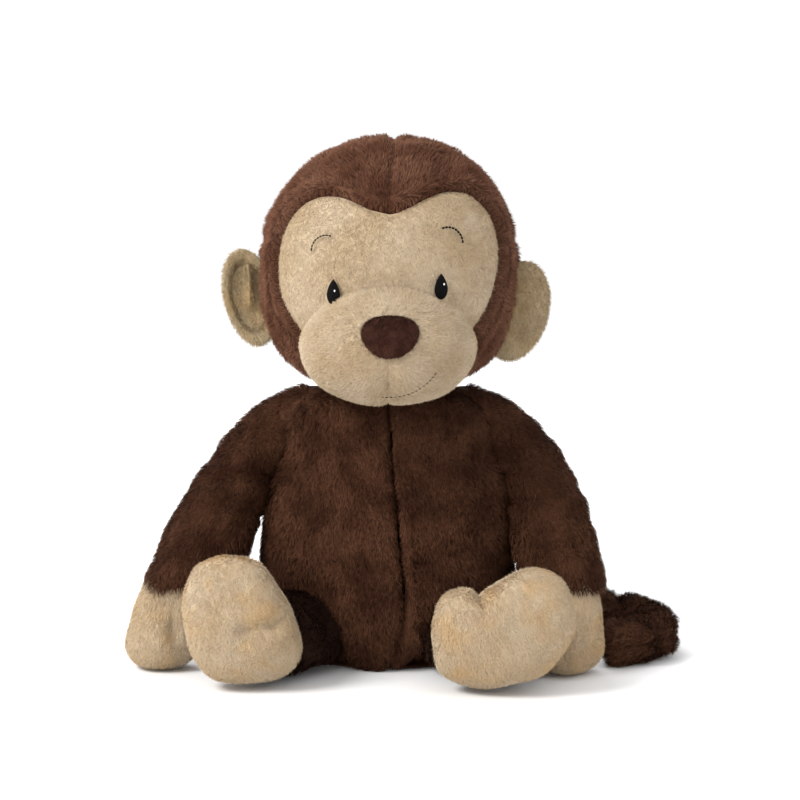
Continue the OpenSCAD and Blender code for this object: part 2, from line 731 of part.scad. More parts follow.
torso_front_left();
torso_front_right();
torso_back_left();
torso_back_right();
seat_gusset();
torso_stuffing();
seat_pellets();
neck_gather();
neck_stuffing();
head_stuffing();
muzzle_stuffing();
crown_left();
crown_right();
hood_left();
hood_right();
head_back_left();
head_back_right();
chin_gusset();
face_panel();
muzzle_left();
muzzle_right();
nose_patch();
eye_left();
eye_right();
eye_glint_left();
eye_glint_right();
brow_left();
brow_right();
mouth_stitch();
ear_left_front();
ear_left_back();
ear_right_front();
ear_right_back();
sleeve_left_front();
sleeve_left_back();
hand_left_palm();
hand_left_back();
arm_left_stuffing();
hand_left_pellets();
sleeve_right_front();
sleeve_right_back();
hand_right_palm();
hand_right_back();
arm_right_stuffing();
hand_right_pellets();
leg_left_wrap();
foot_left_sole();
foot_left_instep();
leg_left_stuffing();
foot_left_pellets();
leg_right_wrap();
foot_right_sole();
foot_right_instep();
leg_right_stuffing();
foot_right_pellets();
tail_upper();
tail_under();
tail_stuffing();
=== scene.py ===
import bpy
import numpy as np
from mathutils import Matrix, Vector


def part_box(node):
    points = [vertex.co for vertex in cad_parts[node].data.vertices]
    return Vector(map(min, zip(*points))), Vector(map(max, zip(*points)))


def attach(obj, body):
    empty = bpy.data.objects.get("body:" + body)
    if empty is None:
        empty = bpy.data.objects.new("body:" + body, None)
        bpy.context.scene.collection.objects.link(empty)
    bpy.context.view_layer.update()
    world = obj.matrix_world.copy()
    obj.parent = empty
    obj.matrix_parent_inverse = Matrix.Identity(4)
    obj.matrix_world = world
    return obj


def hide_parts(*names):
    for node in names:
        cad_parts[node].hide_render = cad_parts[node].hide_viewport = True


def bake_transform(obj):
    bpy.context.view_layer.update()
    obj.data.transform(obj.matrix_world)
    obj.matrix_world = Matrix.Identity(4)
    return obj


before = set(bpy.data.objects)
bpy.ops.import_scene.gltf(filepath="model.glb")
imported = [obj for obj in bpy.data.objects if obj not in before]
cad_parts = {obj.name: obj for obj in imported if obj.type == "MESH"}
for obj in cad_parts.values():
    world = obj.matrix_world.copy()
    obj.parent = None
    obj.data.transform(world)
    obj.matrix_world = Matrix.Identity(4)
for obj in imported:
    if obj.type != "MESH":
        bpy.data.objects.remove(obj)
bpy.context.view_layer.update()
print("frame loaded:", len(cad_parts), "nodes")

# Shapes are worked out in millimetres and go into the meshes in metres.
mm = 0.001


def span(*nodes):
    # lowest and highest corner of some CAD nodes together, in millimetres
    corners = np.array([[list(corner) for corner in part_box(node)] for node in nodes]) / mm
    return corners[:, 0].min(0), corners[:, 1].max(0)


# Camera, floor and lights

view = {
    "distance": 1.5, "height": 0.182, "elevation": 7.0, "lens": 96.5, "shift": 0.015,
}
studio = {
    "floorSize": 60.0, "paper": (0.95, 0.95, 0.955, 1), "sky": (1.0, 1.0, 1.0, 1), "skyStrength": 1.09,
    "aim": (0, 0, 0.18),
    # place, size, power and tint of each lamp
    "key": ((-1.25, -0.95, 1.35), 0.8, 34, (1.0, 0.985, 0.96)),
    "back": ((-0.3, 1.3, 1.7), 1.0, 16, (1.0, 1.0, 1.0)),
}


def makeCamera():
    # stands back from the aim along a line that rises by the elevation
    data = bpy.data.cameras.new("portrait_camera")
    data.lens = view["lens"]
    data.shift_x = view["shift"]
    camera = bpy.data.objects.new("portrait_camera", data)
    bpy.context.scene.collection.objects.link(camera)
    angle = np.radians(view["elevation"])
    back = Vector((0, -np.cos(angle), np.sin(angle)))
    camera.location = Vector((0, 0, view["height"])) + back * view["distance"]
    camera.rotation_euler = (-back).to_track_quat("-Z", "Y").to_euler()
    bpy.context.scene.camera = camera


def softLight(name, place, size, power, tint):
    # a disc lamp turned towards the aim
    data = bpy.data.lights.new(name, "AREA")
    data.shape = "DISK"
    data.size = size
    data.energy = power
    data.color = tint
    lamp = bpy.data.objects.new(name, data)
    bpy.context.scene.collection.objects.link(lamp)
    lamp.location = place
    away = Vector(studio["aim"]) - Vector(place)
    lamp.rotation_euler = away.to_track_quat("-Z", "Y").to_euler()


def makeStudio():
    # one wide square of pale paper under an even white sky, and two lamps
    half = studio["floorSize"] / 2
    mesh = bpy.data.meshes.new("floor")
    corners = [(-half, -half, 0), (half, -half, 0), (half, half, 0), (-half, half, 0)]
    mesh.from_pydata(corners, [], [(0, 1, 2, 3)])
    floor = bpy.data.objects.new("floor", mesh)
    bpy.context.scene.collection.objects.link(floor)
    paper = bpy.data.materials.new("pale_paper")
    paper.use_nodes = True
    shader = paper.node_tree.nodes["Principled BSDF"]
    shader.inputs["Base Color"].default_value = studio["paper"]
    shader.inputs["Roughness"].default_value = 0.9
    shader.inputs["Specular IOR Level"].default_value = 0.1
    mesh.materials.append(paper)
    world = bpy.data.worlds.new("studio")
    world.use_nodes = True
    sky = world.node_tree.nodes["Background"]
    sky.inputs["Color"].default_value = studio["sky"]
    sky.inputs["Strength"].default_value = studio["skyStrength"]
    bpy.context.scene.world = world
    for name in ("key", "back"):
        softLight(name, *studio[name])
    bpy.context.scene.view_settings.view_transform = "Standard"


makeCamera()
makeStudio()
print("camera, floor and lights made")

# Materials


def newMaterial(name):
    # a node material with its tree and its shader
    material = bpy.data.materials.new(name)
    material.use_nodes = True
    return material, material.node_tree, material.node_tree.nodes["Principled BSDF"]


def noiseOn(tree, size, detail):
    # noise on the piece's own Object coordinates, size in millimetres
    place = tree.nodes.new("ShaderNodeTexCoord")
    noise = tree.nodes.new("ShaderNodeTexNoise")
    noise.inputs["Scale"].default_value = 1 / (size * mm)
    noise.inputs["Detail"].default_value = detail
    tree.links.new(place.outputs["Object"], noise.inputs["Vector"])
    return noise.outputs["Fac"]


def mixColours(tree, factor, first, second):
    # first where the factor is 0, second where it is 1; each may be a value or a socket
    mix = tree.nodes.new("ShaderNodeMix")
    mix.data_type = "RGBA"
    for socket, value in ((mix.inputs[0], factor), (mix.inputs[6], first), (mix.inputs[7], second)):
        if isinstance(value, bpy.types.NodeSocket):
            tree.links.new(value, socket)
        else:
            socket.default_value = value
    return mix.outputs[2]


def stretched(tree, value, low, high, floor=0.0, ceiling=1.0):
    # value from low..high spread over floor..ceiling
    node = tree.nodes.new("ShaderNodeMapRange")
    tree.links.new(value, node.inputs["Value"])
    node.inputs["From Min"].default_value = low
    node.inputs["From Max"].default_value = high
    node.inputs["To Min"].default_value = floor
    node.inputs["To Max"].default_value = ceiling
    return node.outputs["Result"]


finish = {
    "fineSize": 3.0, "fineShare": 0.25, "goldShare": 0.9, "goldSize": 0.8, "toneShare": 0.55,
    "toneDark": 0.72, "clothMix": 0.45, "bumpSize": 0.8, "bumpDeep": 0.0008, "bumpStrength": 0.6,
    "pileRough": 0.8, "pileShine": 0.1, "sheenRough": 0.45,
    "twistSize": 0.25, "twistDeep": 0.0001, "twistLight": 1.5, "threadShine": 0.06,
}


def bumped(tree, shader, height, deep, strength=1.0):
    # the shader's surface raised by a height of deep metres
    bump = tree.nodes.new("ShaderNodeBump")
    bump.inputs["Distance"].default_value = deep
    bump.inputs["Strength"].default_value = strength
    tree.links.new(height, bump.inputs["Height"])
    tree.links.new(bump.outputs["Normal"], shader.inputs["Normal"])


def pileMaterial(name, root, deep, pale, patch, sheen, gold=None, onStrands=True):
    # Colour runs from root, painted shade at the foot of a strand, to deep or pale at its tip; a strand's
    # own tone and slow patches of noise choose between deep and pale, and gold shows in some of them.
    material, tree, shader = newMaterial(name)
    # slow and fine noise patches between deep and pale: painted sheen, the light and dark mottling of the
    # nap
    slow = stretched(tree, noiseOn(tree, patch, 2.0), 0.35, 0.65)
    fine = stretched(tree, noiseOn(tree, finish["fineSize"], 3.0), 0.3, 0.7,
                     -finish["fineShare"], finish["fineShare"])
    choice = tree.nodes.new("ShaderNodeMath")
    choice.operation = "ADD"
    choice.use_clamp = True
    tree.links.new(slow, choice.inputs[0])
    tree.links.new(fine, choice.inputs[1])
    body = mixColours(tree, choice.outputs[0], deep, pale)
    if gold is not None:
        worn = stretched(tree, noiseOn(tree, patch * finish["goldSize"], 1.0), 0.5, 0.7,
                         0.0, finish["goldShare"])
        body = mixColours(tree, worn, body, gold)
    if onStrands:
        tone = tree.nodes.new("ShaderNodeAttribute")
        tone.attribute_name = "tone"
        rise = tree.nodes.new("ShaderNodeAttribute")
        rise.attribute_name = "rise"
        shade = mixColours(tree, stretched(tree, tone.outputs["Fac"], 0, 1, 0.0, finish["toneShare"]),
                           body, [c * finish["toneDark"] for c in deep[:3]] + [1])
        # the root colour darkens the foot of each strand: painted shade
        colour = mixColours(tree, rise.outputs["Fac"], root, shade)
    else:
        # the cloth takes a share of the dark root colour: painted shade under the strands
        colour = mixColours(tree, finish["clothMix"], root, body)
        bumped(tree, shader, noiseOn(tree, finish["bumpSize"], 2.0), finish["bumpDeep"],
               finish["bumpStrength"])
    tree.links.new(colour, shader.inputs["Base Color"])
    shader.inputs["Roughness"].default_value = finish["pileRough"]
    shader.inputs["Specular IOR Level"].default_value = finish["pileShine"]
    shader.inputs["Sheen Weight"].default_value = sheen
    shader.inputs["Sheen Roughness"].default_value = finish["sheenRough"]
    shader.inputs["Sheen Tint"].default_value = pale
    return material


def threadMaterial(name, colour, roughness):
    # embroidery thread: fine twist lines across the satin stitches
    material, tree, shader = newMaterial(name)
    twist = noiseOn(tree, finish["twistSize"], 2.0)
    lighter = [min(c * finish["twistLight"] + 0.002, 1) for c in colour[:3]] + [1]
    tree.links.new(mixColours(tree, stretched(tree, twist, 0.35, 0.65), colour, lighter),
                   shader.inputs["Base Color"])
    bumped(tree, shader, twist, finish["twistDeep"])
    shader.inputs["Roughness"].default_value = roughness
    shader.inputs["Specular IOR Level"].default_value = finish["threadShine"]
    return material


# the root colour of each pile is painted shade for the foot of its strands
brown = {
    "root": (0.012, 0.0035, 0.0015, 1), "deep": (0.058, 0.021, 0.0095, 1),
    "pale": (0.150, 0.064, 0.033, 1), "patch": 24.0, "sheen": 0.03,
}
# the legs' brown is a darker copy of the same brown: painted shade for the legs under the belly
legShadeBrown = dict(brown, root=(0.005, 0.0015, 0.0008, 1), deep=(0.020, 0.007, 0.0035, 1),
                pale=(0.052, 0.022, 0.012, 1))
# the head's brown is a lighter copy of the body's brown: painted light falling on the head from above
crownLitBrown = {
    "root": (0.028, 0.010, 0.005, 1), "deep": (0.125, 0.050, 0.027, 1),
    "pale": (0.245, 0.115, 0.070, 1), "patch": 24.0, "sheen": 0.05,
}
tan = {
    "root": (0.40, 0.29, 0.175, 1), "deep": (0.50, 0.385, 0.25, 1),
    "pale": (0.64, 0.54, 0.41, 1), "patch": 30.0, "sheen": 0.12,
}
padTan = dict(tan, deep=(0.56, 0.43, 0.28, 1), gold=(0.62, 0.42, 0.21, 1))
# the ears' tan has their own golden tint and is darker than the face's tan: painted shade beside the head
earShadeTan = dict(tan, root=(0.26, 0.185, 0.10, 1), deep=(0.40, 0.30, 0.175, 1), pale=(0.56, 0.46, 0.31, 1),
              gold=(0.50, 0.34, 0.16, 1))
noseBrown = {
    "root": (0.014, 0.005, 0.003, 1), "deep": (0.050, 0.017, 0.010, 1),
    "pale": (0.105, 0.042, 0.028, 1), "patch": 7.0, "sheen": 0.03,
}


def pileAndCloth(name, colours):
    # the same colours on loose strands and on the cloth under them
    strands = pileMaterial(name + "_pile", **colours)
    return strands, pileMaterial(name + "_cloth", **colours, onStrands=False)


brownPair = pileAndCloth("brown", brown)
crownLitPair = pileAndCloth("crown", crownLitBrown)
tanPair = pileAndCloth("tan", tan)
legShadePair = pileAndCloth("leg", legShadeBrown)
padPair = pileAndCloth("pad", padTan)
earShadePair = pileAndCloth("ear", earShadeTan)
nosePair = pileAndCloth("nose", noseBrown)
blackThread = threadMaterial("black_thread", (0.0015, 0.0012, 0.0012, 1), 0.6)
whiteThread = threadMaterial("white_thread", (0.75, 0.77, 0.80, 1), 0.45)
print("materials made")

# Meshes from arrays


def unit(v):
    # vectors divided by their lengths
    return v / np.maximum(np.linalg.norm(v, axis=-1, keepdims=True), 1e-9)


def ripple(points, size, seed):
    # mean of eight sine waves in seeded directions, each about size millimetres long
    rng = np.random.default_rng(seed)
    ways = unit(rng.normal(size=(8, 3))) * (2 * np.pi / size) * rng.uniform(0.6, 1.5, (8, 1))
    return np.sin(points @ ways.T + rng.uniform(0, 2 * np.pi, 8)).mean(-1) * 2


def gridNormals(grid):
    # cross product of the grid's two directions; a closed row takes its neighbours over the seam
    down = np.gradient(grid, axis=0)
    along = np.gradient(grid, axis=1)
    if np.allclose(grid[:, 0], grid[:, -1], atol=1e-6):
        along[:, 0] = along[:, -1] = grid[:, 1] - grid[:, -2]
    return unit(np.cross(along, down))


def facingOut(grid, middle):
    # the grid with its rows turned round if its normals point at the middle, which may be one
    # point or a point for each row
    if ((grid - middle) * gridNormals(grid)).sum(-1).mean() < 0:
        return grid[:, ::-1].copy()
    return grid


def turnedOut(grid, middle, edges):
    # the same, with the names of the side edges swapped if the rows were turned round
    turned = facingOut(grid, middle)
    if turned is not grid:
        swap = {"left": "right", "right": "left"}
        edges = [swap.get(edge, edge) for edge in edges]
    return turned, edges


def addObject(name, points, corners, starts, material):
    # a smooth mesh from points in millimetres, corner numbers and each face's first corner
    mesh = bpy.data.meshes.new(name)
    mesh.vertices.add(len(points))
    mesh.vertices.foreach_set("co", (points * mm).astype(np.float32).ravel())
    mesh.loops.add(len(corners))
    mesh.loops.foreach_set("vertex_index", corners.astype(np.int32))
    mesh.polygons.add(len(starts))
    mesh.polygons.foreach_set("loop_start", starts.astype(np.int32))
    mesh.update(calc_edges=True)
    mesh.polygons.foreach_set("use_smooth", np.ones(len(starts), bool))
    mesh.materials.append(material)
    mesh.validate()
    piece = bpy.data.objects.new(name, mesh)
    bpy.context.scene.collection.objects.link(piece)
    return piece


def quadsOf(rows, columns, first=0, closed=False):
    # corner numbers of the quads of a grid, wound so that they face along its normals
    j, i = np.mgrid[0:rows - 1, 0:columns if closed else columns - 1]
    k = (i + 1) % columns
    a, b, c, d = (first + r * columns + s for r, s in ((j, i), (j, k), (j + 1, k), (j + 1, i)))
    return np.stack([a, b, c, d], -1).reshape(-1, 4)


def clothPanel(name, grid, material, thick=1.6):
    # Sheet with a thickness: the grid, the grid moved inwards, and a wall round the four edges
    rows, columns = grid.shape[:2]
    inner = grid - gridNormals(grid) * thick
    count = rows * columns
    faces = quadsOf(rows, columns)
    back = quadsOf(rows, columns, count)[:, ::-1]
    index = np.arange(count).reshape(rows, columns)
    rim = np.concatenate([index[0, :-1], index[:-1, -1], index[-1, :0:-1], index[:0:-1, 0]])
    after = np.roll(rim, -1)
    wall = np.stack([after, rim, rim + count, after + count], -1)
    quads = np.concatenate([faces, back, wall])
    points = np.concatenate([grid.reshape(-1, 3), inner.reshape(-1, 3)])
    return addObject(name, points, quads.ravel(), np.arange(len(quads)) * 4, material)


def closedForms(name, grids, material):
    # Solids in one piece, each through rings that close on themselves, with a fan to a middle
    # point at each end
    points, corners, sizes, base = [], [], [], 0
    for rings in grids:
        rows, columns = rings.shape[:2]
        i = np.arange(columns)
        k = (i + 1) % columns
        quads = quadsOf(rows, columns, 0, True)
        first = np.stack([np.full(columns, rows * columns), k, i], -1)
        last = np.stack([np.full(columns, rows * columns + 1), (rows - 1) * columns + i,
                         (rows - 1) * columns + k], -1)
        corners.append(np.concatenate([quads.ravel(), first.ravel(), last.ravel()]) + base)
        sizes.append(np.concatenate([np.full(len(quads), 4), np.full(2 * columns, 3)]))
        points += [rings.reshape(-1, 3), rings[:1].mean(1), rings[-1:].mean(1)]
        base += rows * columns + 2
    sizes = np.concatenate(sizes)
    starts = np.concatenate([[0], np.cumsum(sizes)[:-1]])
    return addObject(name, np.concatenate(points), np.concatenate(corners), starts, material)


def closedDish(name, grid, material, thick):
    # a dish with a thickness from a grid that closes round: its front, its back and the rim
    ring = grid[:, :-1]
    inner = ring - gridNormals(grid)[:, :-1] * thick
    return closedForms(name, [np.concatenate([ring, inner[::-1]])], material)


def rowDistance(grid):
    # distance of each point from the first row, along the cloth
    down = np.linalg.norm(np.diff(grid, axis=0), axis=-1)
    return np.concatenate([np.zeros((1, grid.shape[1])), np.cumsum(down, 0)], 0)


def seamed(grid, edges, dip, width):
    # The grid pushed inwards by dip at the named edges, fading over width millimetres of cloth
    along = rowDistance(grid.swapaxes(0, 1)).T
    depth = rowDistance(grid)
    away = {
        "left": along, "right": along[:, -1:] - along, "low": depth, "high": depth[-1:] - depth,
    }
    push = sum(np.exp(-(away[edge] / width) ** 2) for edge in edges)
    return grid - gridNormals(grid) * (dip * np.minimum(push, 1.0))[..., None]


# Pile


strand = {
    "lengths": (0.75, 1.25), "spread": 12.0, "riseLimits": (8, 85), "twist": 0.9, "sink": 0.4,
    "waist": 0.85, "low": 0.15,
}


def growPile(name, grid, nap, material, pile, seed, keep=None, longer=None):
    # Strands: roots spread evenly over the grid's area; each is a two-step ribbon that leaves the
    # cloth at rise degrees and lies over towards the nap. Ripples in the nap make the strands
    # lean together in small tufts. Returns the piece.
    rng = np.random.default_rng(seed)
    normals = gridNormals(grid)
    a, b, c, d = grid[:-1, :-1], grid[:-1, 1:], grid[1:, 1:], grid[1:, :-1]
    area = 0.5 * np.linalg.norm(np.cross(c - a, d - b), axis=-1)
    count = int(area.sum() * pile["density"])
    cells = np.sort(rng.choice(area.size, count, p=(area / area.sum()).ravel()))
    j, i = np.divmod(cells, area.shape[1])
    s, t = rng.random((2, count, 1))

    def between(field):
        low = field[j, i] * (1 - s) + field[j, i + 1] * s
        high = field[j + 1, i] * (1 - s) + field[j + 1, i + 1] * s
        return low * (1 - t) + high * t

    root, up, way = between(grid), unit(between(normals)), between(nap)
    if keep is not None:
        chosen = keep(root)
        root, up, way = root[chosen], up[chosen], way[chosen]
        count = len(root)
    size = pile["length"] * rng.uniform(*strand["lengths"], (count, 1))
    if longer is not None:
        size *= longer(root)[:, None]
    sway = np.stack([ripple(root, pile["tuft"], seed + k) for k in range(3)], -1)
    slow = np.stack([ripple(root, pile["tuft"] * 5, seed + 7 + k) for k in range(3)], -1)
    way = unit(way) + sway * pile["tufting"] + slow * pile["tufting"] * 0.6
    way += rng.normal(size=(count, 3)) * pile["messy"]
    way = unit(way - (way * up).sum(-1, keepdims=True) * up)
    heave = pile["heave"] * ripple(root, pile["tuft"] * 2.4, seed + 5)[:, None]
    spread = strand["spread"] * rng.normal(size=(count, 1))
    rise = np.radians(np.clip(pile["rise"] + heave + spread, *strand["riseLimits"]))
    lay = rise * pile["lay"]
    stem = up * np.sin(rise) + way * np.cos(rise)
    tip = up * np.sin(lay) + way * np.cos(lay)
    twist = rng.uniform(-strand["twist"], strand["twist"], (count, 1))
    side = unit(np.cross(stem, up) * np.cos(twist) + up * np.sin(twist))
    side = unit(side - (side * stem).sum(-1, keepdims=True) * stem) * pile["width"] / 2
    foot = root - up * strand["sink"]
    middle = foot + stem * size * 0.5
    end = middle + tip * size * 0.5
    waist = side * strand["waist"]
    points = np.stack([foot - side, foot + side, middle + waist, middle - waist, end], 1)
    points = points.reshape(-1, 3)
    points[:, 2] = np.maximum(points[:, 2], strand["low"])
    base = np.arange(count)[:, None] * 5
    corners = (base + np.array([0, 1, 2, 3, 3, 2, 4])).ravel()
    starts = (np.arange(count)[:, None] * 7 + np.array([0, 4])).ravel()
    piece = addObject(name, points, corners, starts, material)
    mesh = piece.data
    tone = mesh.attributes.new("tone", "FLOAT", "POINT")
    tone.data.foreach_set("value", np.repeat(rng.random(count), 5).astype(np.float32))
    # how far up its strand each point lies, which fades the root's painted shade out towards the tip
    height = mesh.attributes.new("rise", "FLOAT", "POINT")
    height.data.foreach_set("value", np.tile([0.05, 0.05, 0.7, 0.7, 1.0], count).astype(np.float32))
    # each strand has its own small cell of the map, in the order in which the roots lie
    columns = int(np.ceil(np.sqrt(count)))
    cell = np.stack(np.divmod(np.arange(count), columns)[::-1], -1) / columns
    shape = np.array([[.2, .1], [.8, .1], [.8, .5], [.2, .5], [.2, .5], [.8, .5], [.5, .9]]) / columns
    layer = mesh.uv_layers.new(name="OFBake")
    layer.data.foreach_set("uv", (cell[:, None] + shape).astype(np.float32).ravel())
    return piece


def steady(grid, way):
    # the same nap direction all over a grid
    return np.broadcast_to(np.array(way, float), grid.shape)


def settle(piece, moves, stands=()):
    # parents a finished piece to the empty of the body that it moves with; a piece between two bodies
    # is only fixed where it stands, as those bodies are not used; the CAD nodes that it stands for are
    # hidden
    if isinstance(moves, str):
        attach(piece, moves)
    else:
        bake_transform(piece)
    if stands:
        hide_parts(*stands)


def cover(name, grid, nap, pair, pile, seed, moves, stands, dish=None, keep=None, longer=None):
    # Cloth over the grid, which stands for the CAD nodes, and its pile over as many rows as nap
    # has; dish is the thickness of a grid that closes round
    if dish is None:
        cloth = clothPanel(name + "_cloth", grid, pair[1])
    else:
        cloth = closedDish(name + "_cloth", grid, pair[1], dish)
    settle(cloth, moves, stands)
    settle(growPile(name + "_pile", grid[:len(nap)], nap, pair[0], pile, seed, keep, longer), moves)


longPile = {
    "density": 1.28, "length": 5.6, "width": 0.42, "rise": 44, "lay": 0.35,
    "tuft": 7.0, "tufting": 0.55, "messy": 0.25, "heave": 14.0,
}
backPile = dict(longPile, density=0.85, width=0.52)
crownPile = dict(longPile, length=6.2, rise=42, tufting=0.42, messy=0.2, tuft=9.0)
crownBackPile = dict(crownPile, density=0.85, width=0.52)
shortPile = {
    "density": 2.6, "length": 2.5, "width": 0.3, "rise": 50, "lay": 0.5,
    "tuft": 5.0, "tufting": 0.3, "messy": 0.18, "heave": 8.0,
}

# Torso: four panels and the seat gusset

torso = {
    "collar": 26.0, "topRise": 6.0, "proud": 0.5, "rows": 70, "columns": 46,
    "shoulderWide": 70.0, "shoulderDeep": 45.0, "fullness": 1.8, "wrinkle": 1.7,
    "seamDrift": 18.5, "seamDip": 2.4, "seamWidth": 5.0,
    "frontDip": 5.5, "frontWidth": 2.8, "frontRidge": 2.4, "ridgeAt": 5.5, "ridgeWidth": 3.0,
    "pointHigh": 62.0, "pointWide": 0.36, "pointShift": -7.0, "low": 0.8, "bellyShare": 0.3,
    "shoulderDrop": 26.0, "topPower": 2.6, "seatProud": 2.0, "partShort": 0.42, "partWide": 4.5,
    # how much flatter, size, seed and share of the folds
    "folds": ((1.6, 46, 3, 1.0), (2.0, 22, 4, 0.5)),
    # size and height of the rings of the flat oval under the seat
    "gussetProud": 1.5,
    "gusset": ((0.2, 0.3), (0.7, 0.3), (0.94, 0.35), (1.0, 1.2), (0.97, 2.2), (0.6, 2.4), (0.2, 2.4)),
}
torsoHigh = span("torso_front_left", "torso_front_right", "torso_back_left", "torso_back_right")[1]
seatHigh = span("seat_gusset")[1]


def torsoHalf(z, seat, belly, shoulder):
    # Half size at a height: a quarter ellipse up to the belly, a cosine to the shoulder, and a
    # squarer curve in to the collar
    bellyZ = torso["bellyShare"] * torsoHigh[2]
    shoulderZ = torsoHigh[2] - torso["shoulderDrop"]
    topZ = torsoHigh[2] + torso["topRise"]
    low = seat + (belly - seat) * np.sqrt(1 - np.clip(1 - z / bellyZ, 0, 1) ** 2)
    t = np.clip((z - bellyZ) / (shoulderZ - bellyZ), 0, 1) ** torso["fullness"]
    middle = shoulder + (belly - shoulder) * (0.5 + 0.5 * np.cos(np.pi * t))
    t = np.clip((z - shoulderZ) / (topZ - shoulderZ), 0, 1)
    power = torso["topPower"]
    high = torso["collar"] + (shoulder - torso["collar"]) * (1 - t ** power) ** (1 / power)
    return np.where(z < bellyZ, low, np.where(z < shoulderZ, middle, high))


def torsoSizes(z):
    # half width and half depth at a height
    seat = seatHigh + torso["seatProud"]
    belly = torsoHigh + torso["proud"]
    wide = torsoHalf(z, seat[0], belly[0], torso["shoulderWide"])
    deep = torsoHalf(z, seat[1], belly[1], torso["shoulderDeep"])
    return wide, deep


def seamPlace(z):
    # side distance of the front seam, which drifts towards the toy's left lower down
    return torso["seamDrift"] * np.clip(1 - z / torsoHigh[2], 0, 1) ** 1.3


def seamTurn(z):
    # the same place as a turn round the torso, in degrees
    return np.degrees(np.arcsin(np.clip(seamPlace(z) / torsoSizes(z)[0], -1, 1)))


def torsoGrid(turnLow, turnHigh):
    # Ellipses stacked along Z between two turns, which may change with height
    t = np.linspace(0, 1, torso["rows"])[:, None]
    top = torsoHigh[2] + torso["topRise"]
    z = torso["low"] + (top - torso["low"]) * (1 - (1 - t) ** 1.15)
    low, high = turnLow(z), turnHigh(z)
    turn = np.radians(low + (high - low) * np.linspace(0, 1, torso["columns"]))
    wide, deep = torsoSizes(z)
    grid = np.stack(np.broadcast_arrays(wide * np.cos(turn), deep * np.sin(turn), z), -1)
    # the lower front draws in to a rounded point between the legs
    low = np.clip(1 - z / torso["pointHigh"], 0, 1) ** 1.7 * np.clip(-np.sin(turn) * 1.6, 0, 1)
    grid[..., 0] += low * (torso["pointShift"] - (1 - torso["pointWide"]) * grid[..., 0])
    out = unit(grid * [1, 1, 0])
    folds = sum(share * ripple(grid * [1, 1, up], size, seed) for up, size, seed, share in torso["folds"])
    fade = np.clip((z - 3) / 25, 0, 1) * np.clip((torsoHigh[2] - z) / 25, 0.2, 1)
    beside = (grid[..., 0] - seamPlace(z) - torso["ridgeAt"]) / torso["ridgeWidth"]
    ridge = np.exp(-beside ** 2) * (grid[..., 1] < 0)
    return grid + out * ((folds * torso["wrinkle"] + ridge * torso["frontRidge"]) * fade)[..., None]


torsoPanels = {
    "torso_front_left": (lambda z: 270 + seamTurn(z), lambda z: 360 + 0 * z, ["torso_stuffing"]),
    "torso_front_right": (lambda z: 180 + 0 * z, lambda z: 270 + seamTurn(z), ["seat_pellets"]),
    "torso_back_left": (lambda z: 0 * z, lambda z: 90 + 0 * z, []),
    "torso_back_right": (lambda z: 90 + 0 * z, lambda z: 180 + 0 * z, []),
}


def clearOfCollar(root):
    # no pile inside the collar
    return np.hypot(root[:, 0], root[:, 1]) > torso["collar"] + 3


def shortAtSeam(root):
    # the pile is short beside the front seam
    away = np.abs(root[:, 0] - seamPlace(root[:, 2])) + 9 * (root[:, 1] > 0)
    short = torso["partShort"]
    return short + (1 - short) * np.clip((away - 1) / torso["partWide"], 0, 1)


def makeTorso():
    # four panels between turns of the torso, their seams drawn in, and an oval underneath
    middle = np.array([0, 0, 90.0])
    for k, (name, (low, high, inner)) in enumerate(torsoPanels.items()):
        front, side = ("left", "right") if name == "torso_front_left" else ("right", "left")
        grid, (front, side) = turnedOut(torsoGrid(low, high), middle, [front, side])
        if "front" in name:
            grid = seamed(grid, [front], torso["frontDip"], torso["frontWidth"])
            grid = seamed(grid, [side], torso["seamDip"], torso["seamWidth"])
            pile = longPile
        else:
            grid = seamed(grid, [front, side], torso["seamDip"], torso["seamWidth"])
            pile = backPile
        cover(name, grid, steady(grid, [0, -0.12, -1]), brownPair, pile, 100 + k, "torso",
              [name] + inner, keep=clearOfCollar, longer=shortAtSeam)
    # the flat oval under the seat
    turn = np.radians(np.arange(0, 360, 5.0))
    wide, deep = seatHigh[:2] + torso["gussetProud"]
    rings = np.array([np.stack([wide * s * np.cos(turn), deep * s * np.sin(turn), 0 * turn + z], -1)
                      for s, z in torso["gusset"]])
    gusset = closedForms("seat_gusset_cloth", [rings], brownPair[1])
    settle(gusset, "torso", stands=["seat_gusset"])


makeTorso()
print("torso made")

# Head: crown, hood, back and chin panels round the face

headHigh = span("crown_left", "crown_right", "hood_left", "hood_right", "face_panel")[1]
head = {
    "middle": np.array([0.0, 2.0, 272.0]), "wide": (headHigh[0] + 3.0, headHigh[0] + 1.2),
    "deep": 78.0, "crown": 93.0, "jaw": 82.0, "inside": 1.2, "faceTurn": 5.0, "crownLean": 3.5,
    "seamDip": 2.0, "seamWidth": 3.6, "faceDip": 4.0, "faceWidth": 4.5,
    "roll": 2.6, "rollAt": 10.0, "rollWidth": 5.0, "lumps": 0.9, "lumpSize": 19.0,
    "crownPower": 2.15, "jawPower": 2.6, "edgeSpan": 9, "edgeSoft": 3.2, "napHigh": 90.0,
    "bareHigh": 200.0, "bareWide": 34.0, "partFrom": 300.0, "partOver": 60.0, "partShort": 0.55,
    "partWide": 5.0,
    # distance of the face's edge from its middle, in degrees, at turns round it from the left
    "edgeTurns": [-90, -56, -32, -10, 10, 20, 32, 44, 56, 66, 78, 88, 100, 112, 122, 132, 142,
                  152, 162, 176, 190, 203, 212, 236, 270],
    "edgeReach": [65, 64, 55, 59, 64, 66, 62, 52, 40, 32.5, 27.5, 26, 27.5, 30.5, 37, 45.5, 54,
                  60.5, 63, 62.5, 62.5, 59, 57.5, 64, 65],
}


def heading(up, turn):
    # unit direction of a latitude and a longitude in degrees; longitude 0 is the front
    t, p = np.radians(up), np.radians(turn)
    return np.stack(np.broadcast_arrays(np.cos(t) * np.sin(p), -np.cos(t) * np.cos(p), np.sin(t)), -1)


